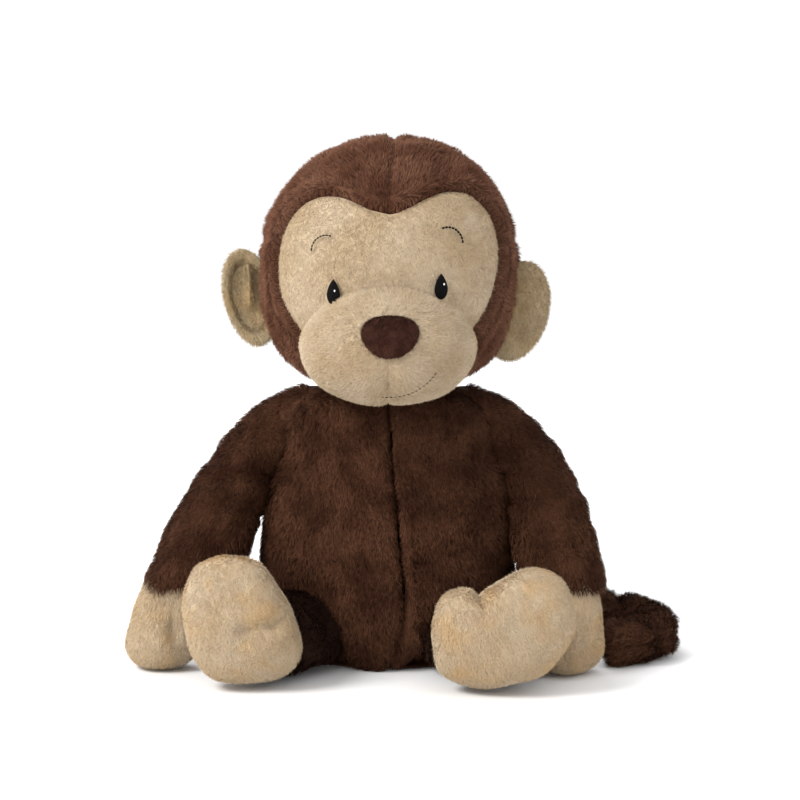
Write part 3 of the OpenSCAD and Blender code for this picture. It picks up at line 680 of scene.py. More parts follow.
def headSurface(way, inside):
    # Point of the head along unit directions: round in plan, squarer below the widest line
    power = np.where(way[..., 2] > 0, head["crownPower"], head["jawPower"])
    tall = np.where(way[..., 2] > 0, head["crown"], head["jaw"]) - inside
    wide = np.where(way[..., 0] > 0, *head["wide"]) - inside
    round_ = np.hypot(way[..., 0] / wide, way[..., 1] / (head["deep"] - inside))
    reach = (round_ ** power + (np.abs(way[..., 2]) / tall) ** power) ** (-1 / power)
    points = head["middle"] + way * reach[..., None]
    lean = head["crownLean"] * np.clip((points[..., 2:3] - head["middle"][2]) / tall[..., None], 0, 1) ** 3
    return points + lean * [1.0, 0, 0]


def faceEdge(turn):
    # the heart-shaped edge as a smoothed curve through its knots: reach in degrees at a turn
    fine = np.arange(-90, 270, 1.0)
    reach = np.interp(fine, head["edgeTurns"], head["edgeReach"])
    far = head["edgeSpan"]
    kernel = np.exp(-(np.arange(-far, far + 1) / head["edgeSoft"]) ** 2)
    smooth = np.convolve(np.r_[reach[-far:], reach, reach[:far]], kernel / kernel.sum(), "valid")
    return np.interp((turn + 90) % 360 - 90, np.r_[fine, 270], np.r_[smooth, smooth[0]])


def edgeHeading(turn):
    # direction of the face's edge
    reach = faceEdge(turn)
    a = np.radians(turn)
    return heading(head["faceTurn"] + reach * np.sin(a), reach * np.cos(a))


def fromFace(turns):
    # the middle of the face, the ways from it through its edge, and how far the edge is off it
    front = heading(head["faceTurn"], 0.0)
    edge = edgeHeading(turns)
    cosine = edge @ front
    return front, unit(edge - cosine[:, None] * front), np.arccos(cosine)


def headGrid(turns, first, last, rows):
    # Great circles from the middle of the face through its edge to the back of the head. first
    # and last are angles off the face's middle; None starts at the edge.
    front, across, edgeOff = fromFace(turns)
    start = np.degrees(edgeOff) if first is None else first
    t = np.linspace(0, 1, rows)[:, None]
    off = np.radians(start + (last - start) * t)
    way = front * np.cos(off)[..., None] + across * np.sin(off)[..., None]
    return headSurface(way, head["inside"])


headPanels = {
    # turns round the face, angle where the panel starts and ends, seams, hidden pieces inside
    "crown_left": ((9, 89.5), None, 178, ["low", "left", "right"], ["head_stuffing"]),
    "crown_right": ((89.5, 171), None, 178, ["low", "left", "right"], ["neck_stuffing"]),
    "hood_left": ((-50, 9), None, 104, ["low", "left", "right", "high"], []),
    "hood_right": ((171, 230), None, 104, ["low", "left", "right", "high"], []),
    "head_back_left": ((-90, 9), 104, 178, ["low", "left", "right"], []),
    "head_back_right": ((171, 270), 104, 178, ["low", "left", "right"], []),
    "chin_gusset": ((-130, -50), None, 104, ["left", "right", "high"], []),
}


def headNap(grid, atFace):
    # pile lies back over the head and falls a little on the sides and back, but the fringe inside
    # the roll round the face lies in towards it
    away = unit(np.gradient(grid, axis=0))
    near = np.clip((grid[..., 2:3] - head["middle"][2]) / head["napHigh"], -1, 1)
    side = np.sign(grid[..., :1]) * [1.0, 0, 0]
    back = away + np.array([0, 0, -0.45]) * (1 - near) + 0.25 * side * np.clip(near, 0, 1)
    if not atFace:
        return back
    share = np.clip((rowDistance(grid)[..., None] - head["rollAt"] + 3) / 6, 0, 1)
    return back * share - away * (1 - share)


def clearOfNeck(root):
    # no pile where the head sits on the torso
    across = np.hypot(root[:, 0], root[:, 1])
    return (root[:, 2] > head["bareHigh"]) | (across > head["bareWide"])


def parted(root):
    # the pile is shorter along the crown seam
    line = head["crownLean"] * np.clip((root[:, 2] - head["partFrom"]) / head["partOver"], 0, 1)
    away = np.abs(root[:, 0] - line) + 20 * (root[:, 2] < head["partFrom"])
    return head["partShort"] + (1 - head["partShort"]) * np.clip(away / head["partWide"], 0, 1)


def makeHead():
    # fans of circles off the middle of the face, raised by lumps and by a roll beside its edge
    for k, (name, (turns, first, last, edges, inner)) in enumerate(headPanels.items()):
        columns = int(abs(turns[1] - turns[0]) * 0.7) + 6
        grid = headGrid(np.linspace(turns[0], turns[1], columns), first, last, 44)
        grid, edges = turnedOut(grid, head["middle"], edges)
        lumps = head["lumps"] * ripple(grid, head["lumpSize"], 61)
        if first is None:
            far = rowDistance(grid)
            roll = head["roll"] * np.exp(-((far - head["rollAt"]) / head["rollWidth"]) ** 2)
            grid = grid + gridNormals(grid) * (roll + lumps * np.clip(far / 20, 0, 1))[..., None]
            grid = seamed(grid, ["low"], head["faceDip"], head["faceWidth"])
            edges = [edge for edge in edges if edge != "low"]
        else:
            grid = grid + gridNormals(grid) * lumps[..., None]
        grid = seamed(grid, edges, head["seamDip"], head["seamWidth"])
        pile = crownBackPile if "back" in name else crownPile
        # the head panels take the lighter brown, painted light from above
        cover(name, grid, headNap(grid, first is None), crownLitPair, pile, 200 + k, "head",
              [name] + inner, keep=clearOfNeck, longer=parted)


makeHead()
print("head made")

# Muzzle, needed first because the face panel has no pile under it

muzzle = {
    "middle": np.array([0.0, -52.0, 227.2]), "half": np.array([58.5, 61.0, 41.0]), "power": 2.15,
    "draw": 0.22, "seamDip": 2.4, "seamWidth": 4.5,
}


def muzzleDraw(up):
    # share of the width left at a height above the muzzle's middle
    return 1 - muzzle["draw"] * np.clip(up / muzzle["half"][2], 0, 1) ** 1.2


def muzzleSurface(way):
    # superellipsoid that is drawn in towards its top
    sum_ = ((np.abs(way) / muzzle["half"]) ** muzzle["power"]).sum(-1)
    points = way * (sum_ ** (-1 / muzzle["power"]))[..., None]
    points[..., 0] *= muzzleDraw(points[..., 2])
    return muzzle["middle"] + points


def muzzleFront(x, z):
    # front of the muzzle at a place in the front view
    x = x / muzzleDraw(z - muzzle["middle"][2])
    rest = 1 - (np.abs(x) / muzzle["half"][0]) ** muzzle["power"]
    rest = rest - (np.abs(z - muzzle["middle"][2]) / muzzle["half"][2]) ** muzzle["power"]
    return muzzle["middle"][1] - muzzle["half"][1] * np.maximum(rest, 0) ** (1 / muzzle["power"])


def insideMuzzle(points, slack):
    # inside the undrawn muzzle made smaller by slack
    share = (np.abs(points - muzzle["middle"]) / (muzzle["half"] - slack)) ** muzzle["power"]
    return share.sum(-1) < 1


def faceFront(x, z):
    # front of the head at a place in the front view
    h = np.abs(z - head["middle"][2]) / np.where(z > head["middle"][2], head["crown"], head["jaw"])
    power = np.where(z > head["middle"][2], head["crownPower"], head["jawPower"])
    wide = (1 - h ** power) ** (1 / power)
    side = x / np.where(x > 0, *head["wide"])
    return head["middle"][1] - head["deep"] * np.sqrt(np.maximum(wide ** 2 - side ** 2, 0))


face = {
    "lift": 0.4, "seamDip": 1.6, "seamWidth": 4.0, "density": 3.1, "length": 2.1,
    "eyeX": (35.2, -36.2), "eyeZ": (265.0, 261.2), "eyeWide": 4.5, "eyeTall": 8.0, "eyeLift": 1.9,
    "glintX": (1.9, 0.9), "glintZ": (3.0, 2.4), "glintWide": 0.5, "glintTall": 0.75,
    "browX": (39.5, -41.0), "browZ": (294.0, 289.0), "browR": (10.3, 10.0), "browLift": 1.7,
    "browTurns": ((3, 112), (70, 178)), "browWide": (0.72, 0.5),
    "noseX": 1.3, "noseZ": 236.5, "noseWide": 18.2, "noseTall": 13.4, "noseDome": 5.0,
    "noseTaper": 0.18, "noseAcross": 2.3, "noseUp": 2.1, "eyeTop": 1.25, "eyeFoot": 0.9,
    "mouthTurns": (212, 330), "mouthSink": 2.4, "mouthZ": 231.0, "mouthWide": 36.5, "mouthTall": 36.0,
}


def eyeOutline(turn):
    # teardrop: an ellipse that narrows to a point at the top
    tall = np.where(np.sin(turn) > 0, face["eyeTop"], face["eyeFoot"])
    wide = np.cos(turn) * np.where(np.sin(turn) > 0, (1 - np.abs(np.sin(turn)) ** 1.2) ** 0.35, 1)
    return wide, tall * np.sin(turn)


def nearEye(root):
    # under an eye, or a little outside it
    covered = np.zeros(len(root), bool)
    for x, z in zip(face["eyeX"], face["eyeZ"]):
        dx = (root[:, 0] - x) / (face["eyeWide"] + 0.4)
        dz = (root[:, 2] - z) / (face["eyeTall"] + 0.4)
        up = np.clip(dz / face["eyeTop"], 0, 1)
        covered |= (np.abs(dx) < np.maximum(1 - up ** 1.2, 0) ** 0.5) & (dz > -0.95) & (dz < 1.2)
    return covered


def nearNose(root):
    # under the nose
    dx = (root[:, 0] - face["noseX"]) / (face["noseWide"] - 0.6)
    dz = (root[:, 2] - face["noseZ"]) / (face["noseTall"] - 0.6)
    return dx ** 2 + dz ** 2 < 1


def makeFace():
    # grid from the middle of the face out to its edge, closed round it
    front, across, edgeOff = fromFace(np.linspace(-90, 270, 145))
    off = edgeOff * np.linspace(0.02, 0.995, 44)[:, None]
    way = front * np.cos(off)[..., None] + across * np.sin(off)[..., None]
    grid = facingOut(headSurface(way, head["inside"] - face["lift"]), head["middle"])
    grid = seamed(grid, ["high"], face["seamDip"], face["seamWidth"])

    def clear(root):
        return ~insideMuzzle(root, 1.0) & ~nearEye(root)

    nap = 0.35 * unit(grid - np.array([0, -60, 262.0])) + steady(grid, [0, 0, -1.0])
    pile = dict(shortPile, density=face["density"], length=face["length"])
    cover("face_panel", grid, nap, tanPair, pile, 300, "head", ["face_panel"],
          dish=1.6, keep=clear)


def makeMuzzle():
    # two halves of the superellipsoid, drawn in along the seam between them below the nose
    for k, (name, low, high) in enumerate((("muzzle_left", -90, 90), ("muzzle_right", 90, 270))):
        turn = np.radians(np.linspace(low, high, 60))
        off = np.radians(np.linspace(2, 112, 52))[:, None]
        way = np.stack(np.broadcast_arrays(np.sin(off) * np.cos(turn), -np.cos(off),
                                           np.sin(off) * np.sin(turn)), -1)
        grid = muzzleSurface(way)
        grid = grid + unit(way) * (ripple(grid, 40, 31) * 0.5)[..., None]
        grid = facingOut(grid, muzzle["middle"])
        under = np.clip((face["noseZ"] - 6 - grid[..., 2]) / 10, 0, 1)
        grid = grid - gridNormals(grid) * (under * muzzle["seamDip"]
                                           * np.exp(-np.abs(grid[..., 0]) / muzzle["seamWidth"]))[..., None]
        side = np.sign(grid[..., :1]) * [1.0, 0, 0]
        below = np.clip((face["noseZ"] - grid[..., 2:3]) / 20, 0, 1)
        nap = unit(grid - np.array([0, -100, face["noseZ"]])) + side * below * 0.9
        nap = nap + np.array([0, 0, -0.5]) * below

        def clear(root):
            gone = np.linalg.norm((root - head["middle"]) / [84, 75, 80], axis=-1) < 1
            return ~nearNose(root) & ~(gone & (root[:, 1] > -40))

        pile = dict(shortPile, density=2.6, length=3.1)
        cover(name, grid, nap, tanPair, pile, 320 + k, "head",
              [name] + ["muzzle_stuffing"] * k, keep=clear)


satin = {"thread": 0.7, "edge": 0.35}


def satinPatch(name, x, z, outline, surface, lift, dome, material, stands, ridge=0.0):
    # Domed patch over a surface: outline gives its edge at a turn, and fine ridges run down it
    # like satin stitches
    turn = np.radians(np.arange(0, 360, 6.0))
    wide, tall = outline(turn)
    steps = np.array([0.04, 0.2, 0.4, 0.6, 0.8, 0.93, 1.0])
    rings = []
    for s, side in [(s, 1) for s in steps] + [(s, 0) for s in steps[::-1]]:
        px, pz = x + wide * s, z + tall * s
        bulge = dome * np.sqrt(1 - s ** 2) + ridge * np.sin(px * 2 * np.pi / satin["thread"]) * (s < 1)
        y = surface(px, pz) - lift - (bulge + satin["edge"] * dome) * side
        rings.append(np.stack([px, y, pz], -1))
    settle(closedForms(name, [np.array(rings)[:, ::-1]], material), "head", stands=stands)


def stitchRun(name, places, surface, lift, stitch, material, stands):
    # Running stitches along a line: each is a small lozenge that dips into the cloth at both ends
    cut = np.linspace(0, 1, stitch["count"] + 1)
    turn = np.linspace(0, 2 * np.pi, 9)[:-1]
    grids = []
    for a, b in zip(cut[:-1], cut[1:]):
        s = a + (b - a) * np.linspace(stitch["gap"], 1 - stitch["gap"], 7)
        x, z = places(s)
        way = unit(np.stack([np.gradient(x), np.gradient(z)], -1))
        swell = np.sin(np.linspace(0.25, np.pi - 0.25, 7))
        rise = lift + swell * stitch["wide"]
        half = stitch["wide"] * (0.35 + 0.65 * swell)
        offX = np.outer(half, np.cos(turn)) * -way[:, 1:]
        offZ = np.outer(half, np.cos(turn)) * way[:, :1]
        y = (surface(x, z) - rise)[:, None] - np.outer(half, np.sin(turn))
        grids.append(np.stack([x[:, None] + offX, y, z[:, None] + offZ], -1))
    settle(closedForms(name, grids, material), "head", stands=stands)


def makeFeatures():
    # eyes, glints, brows, mouth and nose, each laid on the front of the face or of the muzzle
    for k, (side, x, z) in enumerate(zip(("left", "right"), face["eyeX"], face["eyeZ"])):
        def drop(turn):
            wide, tall = eyeOutline(turn)
            return wide * face["eyeWide"], tall * face["eyeTall"]

        def spot(turn):
            return face["glintWide"] * np.cos(turn), face["glintTall"] * np.sin(turn)

        satinPatch("eye_" + side + "_satin", x, z, drop, faceFront, face["eyeLift"], 1.3,
                   blackThread, ["eye_" + side], ridge=0.12)
        satinPatch("eye_glint_" + side + "_satin", x + face["glintX"][k], z + face["glintZ"][k], spot,
                   faceFront, face["eyeLift"] + 1.45, 0.5, whiteThread,
                   ["eye_glint_" + side])
    for k, side in enumerate(("left", "right")):
        low, high = np.radians(face["browTurns"][k])

        def arc(s, k=k, low=low, high=high):
            a = low + (high - low) * s
            return (face["browX"][k] + face["browR"][k] * np.cos(a),
                    face["browZ"][k] + face["browR"][k] * 1.1 * np.sin(a))

        stitch = {"count": 9, "gap": 0.06, "wide": face["browWide"][k]}
        stitchRun("brow_" + side + "_thread", arc, faceFront, face["browLift"], stitch, blackThread,
                  ["brow_" + side])

    def smile(s):
        low, high = face["mouthTurns"]
        a = np.radians(low + (high - low) * s)
        return face["mouthWide"] * np.cos(a), face["mouthZ"] + face["mouthTall"] * np.sin(a)

    stitch = {"count": 26, "gap": 0.2, "wide": 0.33}

    def sunkFront(x, z):
        # the stitches sink into the pile away from the toy's left
        return muzzleFront(x, z) + face["mouthSink"] * np.clip(0.55 - x / 20, 0, 1)

    stitchRun("mouth_thread", smile, sunkFront, 1.6, stitch, blackThread, ["mouth_stitch"])

    # nose: a domed pile patch
    turn = np.radians(np.linspace(0, 360, 73))
    s = np.linspace(0.03, 1.0, 22)[:, None]
    squash = np.abs(np.cos(turn)) ** face["noseAcross"] + np.abs(np.sin(turn)) ** face["noseUp"]
    squash = squash ** (-1 / face["noseUp"])
    up = s * np.sin(turn) * squash
    x = face["noseX"] + face["noseWide"] * s * np.cos(turn) * squash * (1 + face["noseTaper"] * up)
    z = face["noseZ"] + face["noseTall"] * up
    y = muzzleFront(x, z) - face["noseDome"] * (1 - s ** 3.2) ** 0.5 - 0.2
    grid = facingOut(np.stack([x, y, z], -1), np.array([0, -90, face["noseZ"]]))
    nap = unit(grid - np.array([0, -100, face["noseZ"] + 5])) + [0, 0, -0.6]
    pile = dict(shortPile, density=5.0, length=2.2, width=0.3)
    cover("nose_patch", grid, nap, nosePair, pile, 340, "head", ["nose_patch"], dish=1.2)


makeFace()
makeMuzzle()
makeFeatures()
print("face made")

# Neck gather: a puckered ring between head and torso, as steps of radius and height
neck = {"pucker": 0.03, "gathers": 24, "steps": [(20, -3.0), (26, -2.5), (29, 0.5), (27, 3.5), (20, 4.0)]}
gatherLow, gatherHigh = span("neck_gather")


def makeNeck():
    # rings round the neck's middle, their radius waved into gathers
    turn = np.radians(np.arange(0, 360, 4.0))
    middle = (gatherLow + gatherHigh) / 2
    pucker = 1 + neck["pucker"] * np.sin(turn * neck["gathers"])
    rings = np.array([np.stack([r * pucker * np.cos(turn), middle[1] + r * pucker * np.sin(turn),
                                0 * turn + middle[2] + z], -1) for r, z in neck["steps"]])
    gather = closedForms("neck_gather_cloth", [rings], brownPair[1])
    settle(gather, "neck", stands=["neck_gather"])


makeNeck()

# Tubes: arms, legs and tail


def curve(knots, count):
    # Catmull-Rom curve through knots, which may hold a place and radii together
    knots = np.array(knots, float)
    full = np.concatenate([[2 * knots[0] - knots[1]], knots, [2 * knots[-1] - knots[-2]]])
    s = np.linspace(0, len(knots) - 1 - 1e-6, count)
    k = s.astype(int)
    f = (s - k)[:, None]
    a, b, c, d = full[k], full[k + 1], full[k + 2], full[k + 3]
    return b + 0.5 * f * (c - a + f * (2 * a - 5 * b + 4 * c - d + f * (3 * (b - c) + d - a)))


def tube(line, turns, upright):
    # Ellipses carried along a line: columns of line are x, y, z, half width and half depth
    path = line[:, :3]
    way = unit(np.gradient(path, axis=0))
    wide = unit(np.cross(upright, way))
    deep = np.cross(way, wide)
    a = np.radians(turns)
    return (path[:, None] + wide[:, None] * (line[:, 3:4] * np.cos(a))[..., None]
            + deep[:, None] * (line[:, 4:5] * np.sin(a))[..., None])


def lineNap(grid):
    # pile lies along the tube
    return unit(np.gradient(grid, axis=0))


arms = {
    # x, y, z, half width, half depth from inside the torso to the cuff
    "left": [(42, 12, 177, 13, 18), (58, 14, 174, 16, 19), (78, 13, 160, 20, 22), (95, 8, 137, 24.5, 25),
             (107, -5, 112, 27.0, 27), (113, -22, 88, 29.5, 27), (120.5, -36, 63, 29.5, 27)],
    "right": [(42, 12, 177, 13, 18), (58, 14, 174, 16, 19), (79, 13, 161, 20, 22),
              (96, 8, 137, 24, 25), (111, -5, 112, 27, 27), (124.5, -22, 88, 30, 27),
              (137, -36, 62, 30.5, 28)],
    "wrinkle": 1.3, "skirt": 7.0, "fold": 4.0, "creases": ((0.60, 1.0), (0.74, 0.8)),
    "creaseWide": 0.022, "seamDip": 1.4, "seamWidth": 4.0, "bare": 55.0, "sunkShort": 0.25,
    # the hem turns in under the cuff: what it adds to x, y, z and the half sizes, and its pull
    "hem": [[0, 0, -1.2, -1.2, -1.2], [0, 0, 1.0, -2.6, -2.6], [0, 0, 5.0, -3.4, -3.4]],
    "hemPull": [1.0, 0.86, 0.68],
}


def outsideTorso(root):
    # no pile on the part of the sleeve inside the torso
    return np.abs(root[:, 0]) > arms["bare"]


def sunk(root):
    # the pile is short in the fold between arm and belly
    wide, deep = torsoSizes(root[:, 2])
    away = (np.hypot(root[:, 0] / wide, root[:, 1] / deep) - 1) * 60
    return arms["sunkShort"] + (1 - arms["sunkShort"]) * np.clip((away - 1) / 7, 0, 1)


def makeArm(side, sign, seed):
    # tubes of two halves with elbow creases and a hem that hangs lower on the outside
    line = curve(arms[side], 60) * [sign, 1, 1, 1, 1]
    shoulder = {
        "from": "torso", "to": "arm_" + side,
        "start": (sign * 0.062, 0, 0.170), "end": (sign * 0.094, 0, 0.150),
    }
    line = np.concatenate([line, line[-1] + np.array(arms["hem"])])
    for half, (low, high, node) in enumerate(((180, 360, "front"), (0, 180, "back"))):
        grid = tube(line, np.linspace(low, high, 34), np.array([0, 1.0, 0]))
        grid[-3:] = grid[-4][None] * [1, 1, 0] + grid[-3:] * [0, 0, 1]
        middle = line[-4, :3]
        pull = np.array(arms["hemPull"])[:, None, None]
        grid[-3:, :, :2] = middle[:2] + (grid[-3:, :, :2] - middle[:2]) * pull
        t = np.linspace(0, 1, len(grid))[:, None]
        out = unit(grid - line[:, None, :3])
        folds = ripple(grid * [0.6, 0.8, 2.0], 24, seed) * np.exp(-((t - 0.55) / 0.3) ** 2)
        slack = 0.8 * ripple(grid, 34, seed + 1)
        # two deep folds cross the inner side of the elbow
        inside = np.clip((line[:, None, 0] - grid[..., 0]) * sign / line[:, None, 3] + 0.35, 0, 1)
        across = t + 0.10 * inside
        crease = sum(deep * np.exp(-((across - place) / arms["creaseWide"]) ** 2)
                     for place, deep in arms["creases"])
        push = (folds + slack) * arms["wrinkle"] - crease * inside * arms["fold"]
        grid = grid + out * push[..., None]
        # the hem hangs lower on the outer side and waves a little
        outer = np.clip((grid[..., 0] * sign - line[:, None, 0] * sign) / line[:, None, 3], -1, 1)
        wave = 0.25 * np.sin(np.radians(np.linspace(low, high, 34)) * 3 + seed)
        grid[..., 2] -= arms["skirt"] * (outer + wave) * np.clip((t - 0.72) / 0.22, 0, 1)
        grid = facingOut(grid, line[:, None, :3])
        grid = seamed(grid, ["left", "right"], arms["seamDip"], arms["seamWidth"])
        name = "sleeve_" + side + "_" + node
        inner = ["arm_" + side + "_stuffing"] if half == 0 else []
        pile = longPile if half == 0 else backPile
        cover(name, grid, lineNap(grid[:-2]), brownPair, pile, 400 + seed * 10 + half,
              shoulder, [name] + inner, keep=outsideTorso, longer=sunk)


hands = {
    "left": {"x": 122.0, "y": -52.0, "wide": 26.0, "deep": 24.0, "top": (121, -38), "seed": 5},
    "right": {"x": 157.0, "y": -38.0, "wide": 27.0, "deep": 23.0, "top": (140, -37), "seed": 6},
    "height": 74.0, "low": 0.8, "dent": 4.5, "hem": 64.0,
}


def makeHand(side, sign):
    # Stacked ellipses, widest low down, that narrow up into the cuff; a dent marks the thumb
    hand = hands[side]
    t = np.linspace(0.0, 1.0, 40)[:, None]
    z = hands["low"] + (hands["height"] - hands["low"]) * t
    rounding = (1 - np.clip(1 - t / 0.34, 0, 1) ** 2.6) ** (1 / 2.2)
    slim = 1 - 0.30 * np.clip((t - 0.25) / 0.75, 0, 1) ** 1.5
    x = hand["x"] + (hand["top"][0] - hand["x"]) * t ** 1.4
    y = hand["y"] + (hand["top"][1] - hand["y"]) * t ** 1.2
    for half, (low, high, node) in enumerate(((180, 360, "back"), (0, 180, "palm"))):
        turn = np.radians(np.linspace(low, high, 36))
        size = 0.06 + 0.94 * rounding * slim
        grid = np.stack(np.broadcast_arrays(
            x + hand["wide"] * size * np.cos(turn), y + hand["deep"] * size * np.sin(turn), z), -1)
        thumb = np.array([x[16, 0] - hand["wide"] * 0.2, y[16, 0] - hand["deep"], 32.0])
        off = (grid - thumb) / [5.0, 20.0, 10.0]
        out = unit(grid - np.stack(np.broadcast_arrays(x, y, z), -1))
        push = -hands["dent"] * np.exp(-(off ** 2).sum(-1)) + ripple(grid, 30, hand["seed"])
        grid = (grid + out * push[..., None]) * [sign, 1, 1]
        grid[..., 2] = np.maximum(grid[..., 2], hands["low"])
        line = np.stack(np.broadcast_arrays(x * sign, y, z), -1)[:, 0]
        grid = facingOut(grid, line[:, None, :3])
        name = "hand_" + side + "_" + node
        inner = ["hand_" + side + "_pellets"] if half == 0 else []
        cover(name, grid, steady(grid, [0.2 * sign, 0, -1]), padPair, dict(shortPile, length=3.0),
              500 + 10 * hand["seed"] + half, "arm_" + side, [name] + inner,
              keep=lambda root: root[:, 2] < hands["hem"])


for side, sign, seed in (("left", 1, 1), ("right", -1, 2)):
    makeArm(side, sign, seed)
    makeHand(side, sign)
print("arms made")

feet = {
    # middle; outline as x, z of a closed curve; creases: from, to, spread, depth
    "left": {
        "middle": (76.0, -110.0, 44.0), "thick": 24.0,
        "outline": [(44, 72), (52, 71), (58, 66.5), (66, 73), (90, 86), (113, 79), (122, 63), (122.5, 43),
                    (114, 25), (97, 10), (63, 3), (35, 13), (28, 36), (29, 54), (34, 67)],
        "creases": [((58, 70), (63, 60), 7.0, 6.0), ((27, 39), (44, 24), 6.0, 2.2),
                    ((34, 58), (50, 50), 7.0, 1.6)],
    },
    "right": {
        "middle": (-97.0, -101.0, 49.0), "thick": 22.5,
        "outline": [(-102.5, 94), (-87, 90.5), (-76, 79), (-70, 68), (-62, 51), (-57, 33), (-60, 18),
                    (-71, 7.5), (-96, 3.2), (-118, 6.5), (-130, 22), (-135.5, 44), (-135, 66), (-127.5, 84),
                    (-115, 92)],
        "creases": [((-70, 52), (-95, 45), 5.0, 5.0), ((-69, 66), (-76, 48), 5.0, 3.5),
                    ((-95, 45), (-112, 56), 8.0, 2.0), ((-100, 72), (-116, 66), 9.0, 1.8)],
    },
    "pileRoom": 1.8, "lean": 0.14, "edge": (0.78, 0.9), "notch": 1.2,
}


def loop(knots, count):
    # closed Catmull-Rom curve through knots; its last point is its first again
    knots = np.array(knots, float)
    s = np.linspace(0, len(knots), count)
    k = np.minimum(s.astype(int), len(knots) - 1)
    f = (s - k)[:, None]
    a, b, c, d = (knots[(k + m) % len(knots)] for m in (-1, 0, 1, 2))
    return b + 0.5 * f * (c - a + f * (2 * a - 5 * b + 4 * c - d + f * (3 * (b - c) + d - a)))


def makeFoot(side, sign, seed):
    # Pillow: the outline shrinks over a rounded edge to the sole in front and the instep behind
    foot = feet[side]
    middle = np.array(foot["middle"])
    spoke = loop(foot["outline"], 121) - middle[[0, 2]]
    spoke = spoke * (1 - feet["pileRoom"] / np.linalg.norm(spoke, axis=-1, keepdims=True))
    plain = np.median(np.linalg.norm(spoke, axis=-1)) * unit(spoke)
    for node, low, high in (("sole", -2, 89.85), ("instep", -89.85, 4)):
        lean = np.radians(np.linspace(low, high, 40))[:, None]
        c = np.sign(np.cos(lean)) * np.abs(np.cos(lean)) ** feet["edge"][0]
        s = np.sign(np.sin(lean)) * np.abs(np.sin(lean)) ** feet["edge"][1]
        keen = np.abs(c) ** feet["notch"]
        px = middle[0] + c * (keen * spoke[:, 0] + (1 - keen) * plain[:, 0])
        pz = middle[2] + c * (keen * spoke[:, 1] + (1 - keen) * plain[:, 1])
        py = middle[1] - foot["thick"] * s - (pz - middle[2]) * feet["lean"]
        for (x0, z0), (x1, z1), spread, deep in foot["creases"]:
            along = np.clip(((px - x0) * (x1 - x0) + (pz - z0) * (z1 - z0))
                            / ((x1 - x0) ** 2 + (z1 - z0) ** 2), 0, 1)
            away = np.hypot(px - x0 - along * (x1 - x0), pz - z0 - along * (z1 - z0))
            py = py + (s > 0) * deep * np.exp(-(away / spread) ** 2) * (1 - 0.5 * along)
        grid = np.stack([px, py, pz], -1)
        out = unit(grid - middle)
        grid = grid + out * ripple(grid, 38, seed)[..., None]
        grid[:, -1] = grid[:, 0]
        grid[..., 2] = np.maximum(grid[..., 2], 1.0)
        grid = facingOut(grid, middle)
        name = "foot_" + side + "_" + node
        inner = ["foot_" + side + "_pellets"] if node == "sole" else []
        pile = dict(shortPile, length=2.9, density=2.3 if node == "sole" else 1.3)
        nap = steady(grid, [0.25 * sign, 0, -1]) + 0.5 * unit(grid - middle)

        def clear(root):
            # no pile where the leg comes in
            return (root[:, 1] < middle[1] + foot["thick"] * 0.75) | (root[:, 2] > 70)

        cover(name, grid, nap, padPair, pile, 600 + 10 * seed + (node == "sole"),
              "leg_" + side, [name] + inner, dish=1.6, keep=clear)


legs = {
    # x, y, z, half width, half depth from inside the belly into the back of the foot
    "left": [(38, -22, 30, 20, 22), (50, -46, 28, 25, 24), (62, -66, 28, 28, 25), (72, -84, 33, 30, 26),
             (77, -102, 41, 27, 26)],
    "right": [(38, -22, 32, 20, 22), (58, -46, 30, 24, 25), (75, -64, 31, 27, 27), (87, -78, 36, 29, 29),
              (95, -97, 43, 22, 26)],
    "sag": 15.0, "bare": -98.0,
}


def makeLeg(side, sign, seed):
    # a soft tube that widens on the ground towards the middle of the toy
    line = curve(legs[side], 34) * [sign, 1, 1, 1, 1]
    hip = {
        "from": "torso", "to": "leg_" + side,
        "start": (sign * 0.050, -0.044, 0.030), "end": (sign * 0.064, -0.078, 0.030),
    }
    grid = tube(line, np.linspace(0, 360, 61), np.array([0, 0, 1.0]))
    grid = grid + unit(grid - line[:, None, :3]) * (ripple(grid, 26, 20 + seed) * 1.2)[..., None]
    # the inner side spreads on the ground towards the middle
    inner = np.clip((line[:, None, 0] - grid[..., 0]) * sign / line[:, None, 3], 0, 1)
    low = np.clip(1 - grid[..., 2] / 34, 0, 1)
    grid[..., 0] -= sign * legs["sag"] * inner * low
    grid[:, -1] = grid[:, 0]
    grid[..., 2] = np.maximum(grid[..., 2], 1.0)
    grid = facingOut(grid, line[:, None, :3])
    name = "leg_" + side
    # the wrap takes the darker brown, painted shade under the belly
    cover(name + "_wrap", grid, lineNap(grid) + [0, 0, -0.3], legShadePair, backPile, 700 + seed,
          hip, [name + "_wrap", name + "_stuffing"],
          keep=lambda root: root[:, 1] > legs["bare"])


for side, sign, seed in (("left", 1, 8), ("right", -1, 9)):
    makeFoot(side, sign, seed)
    makeLeg(side, sign, seed)
print("legs made")

tail = {
    "radius": 14.0, "rows": 130, "cap": 0.055, "wrinkle": 1.8, "seamDip": 3.2, "seamWidth": 2.8,
    "route": [(17, 44, 22), (25, 70, 20), (62, 82, 17), (106, 80, 16.5), (150, 66, 16.5), (180, 42, 16.5),
              (191, 12, 16.5), (184, -14, 16), (167, -28, 15.5), (150, -29, 15)],
}


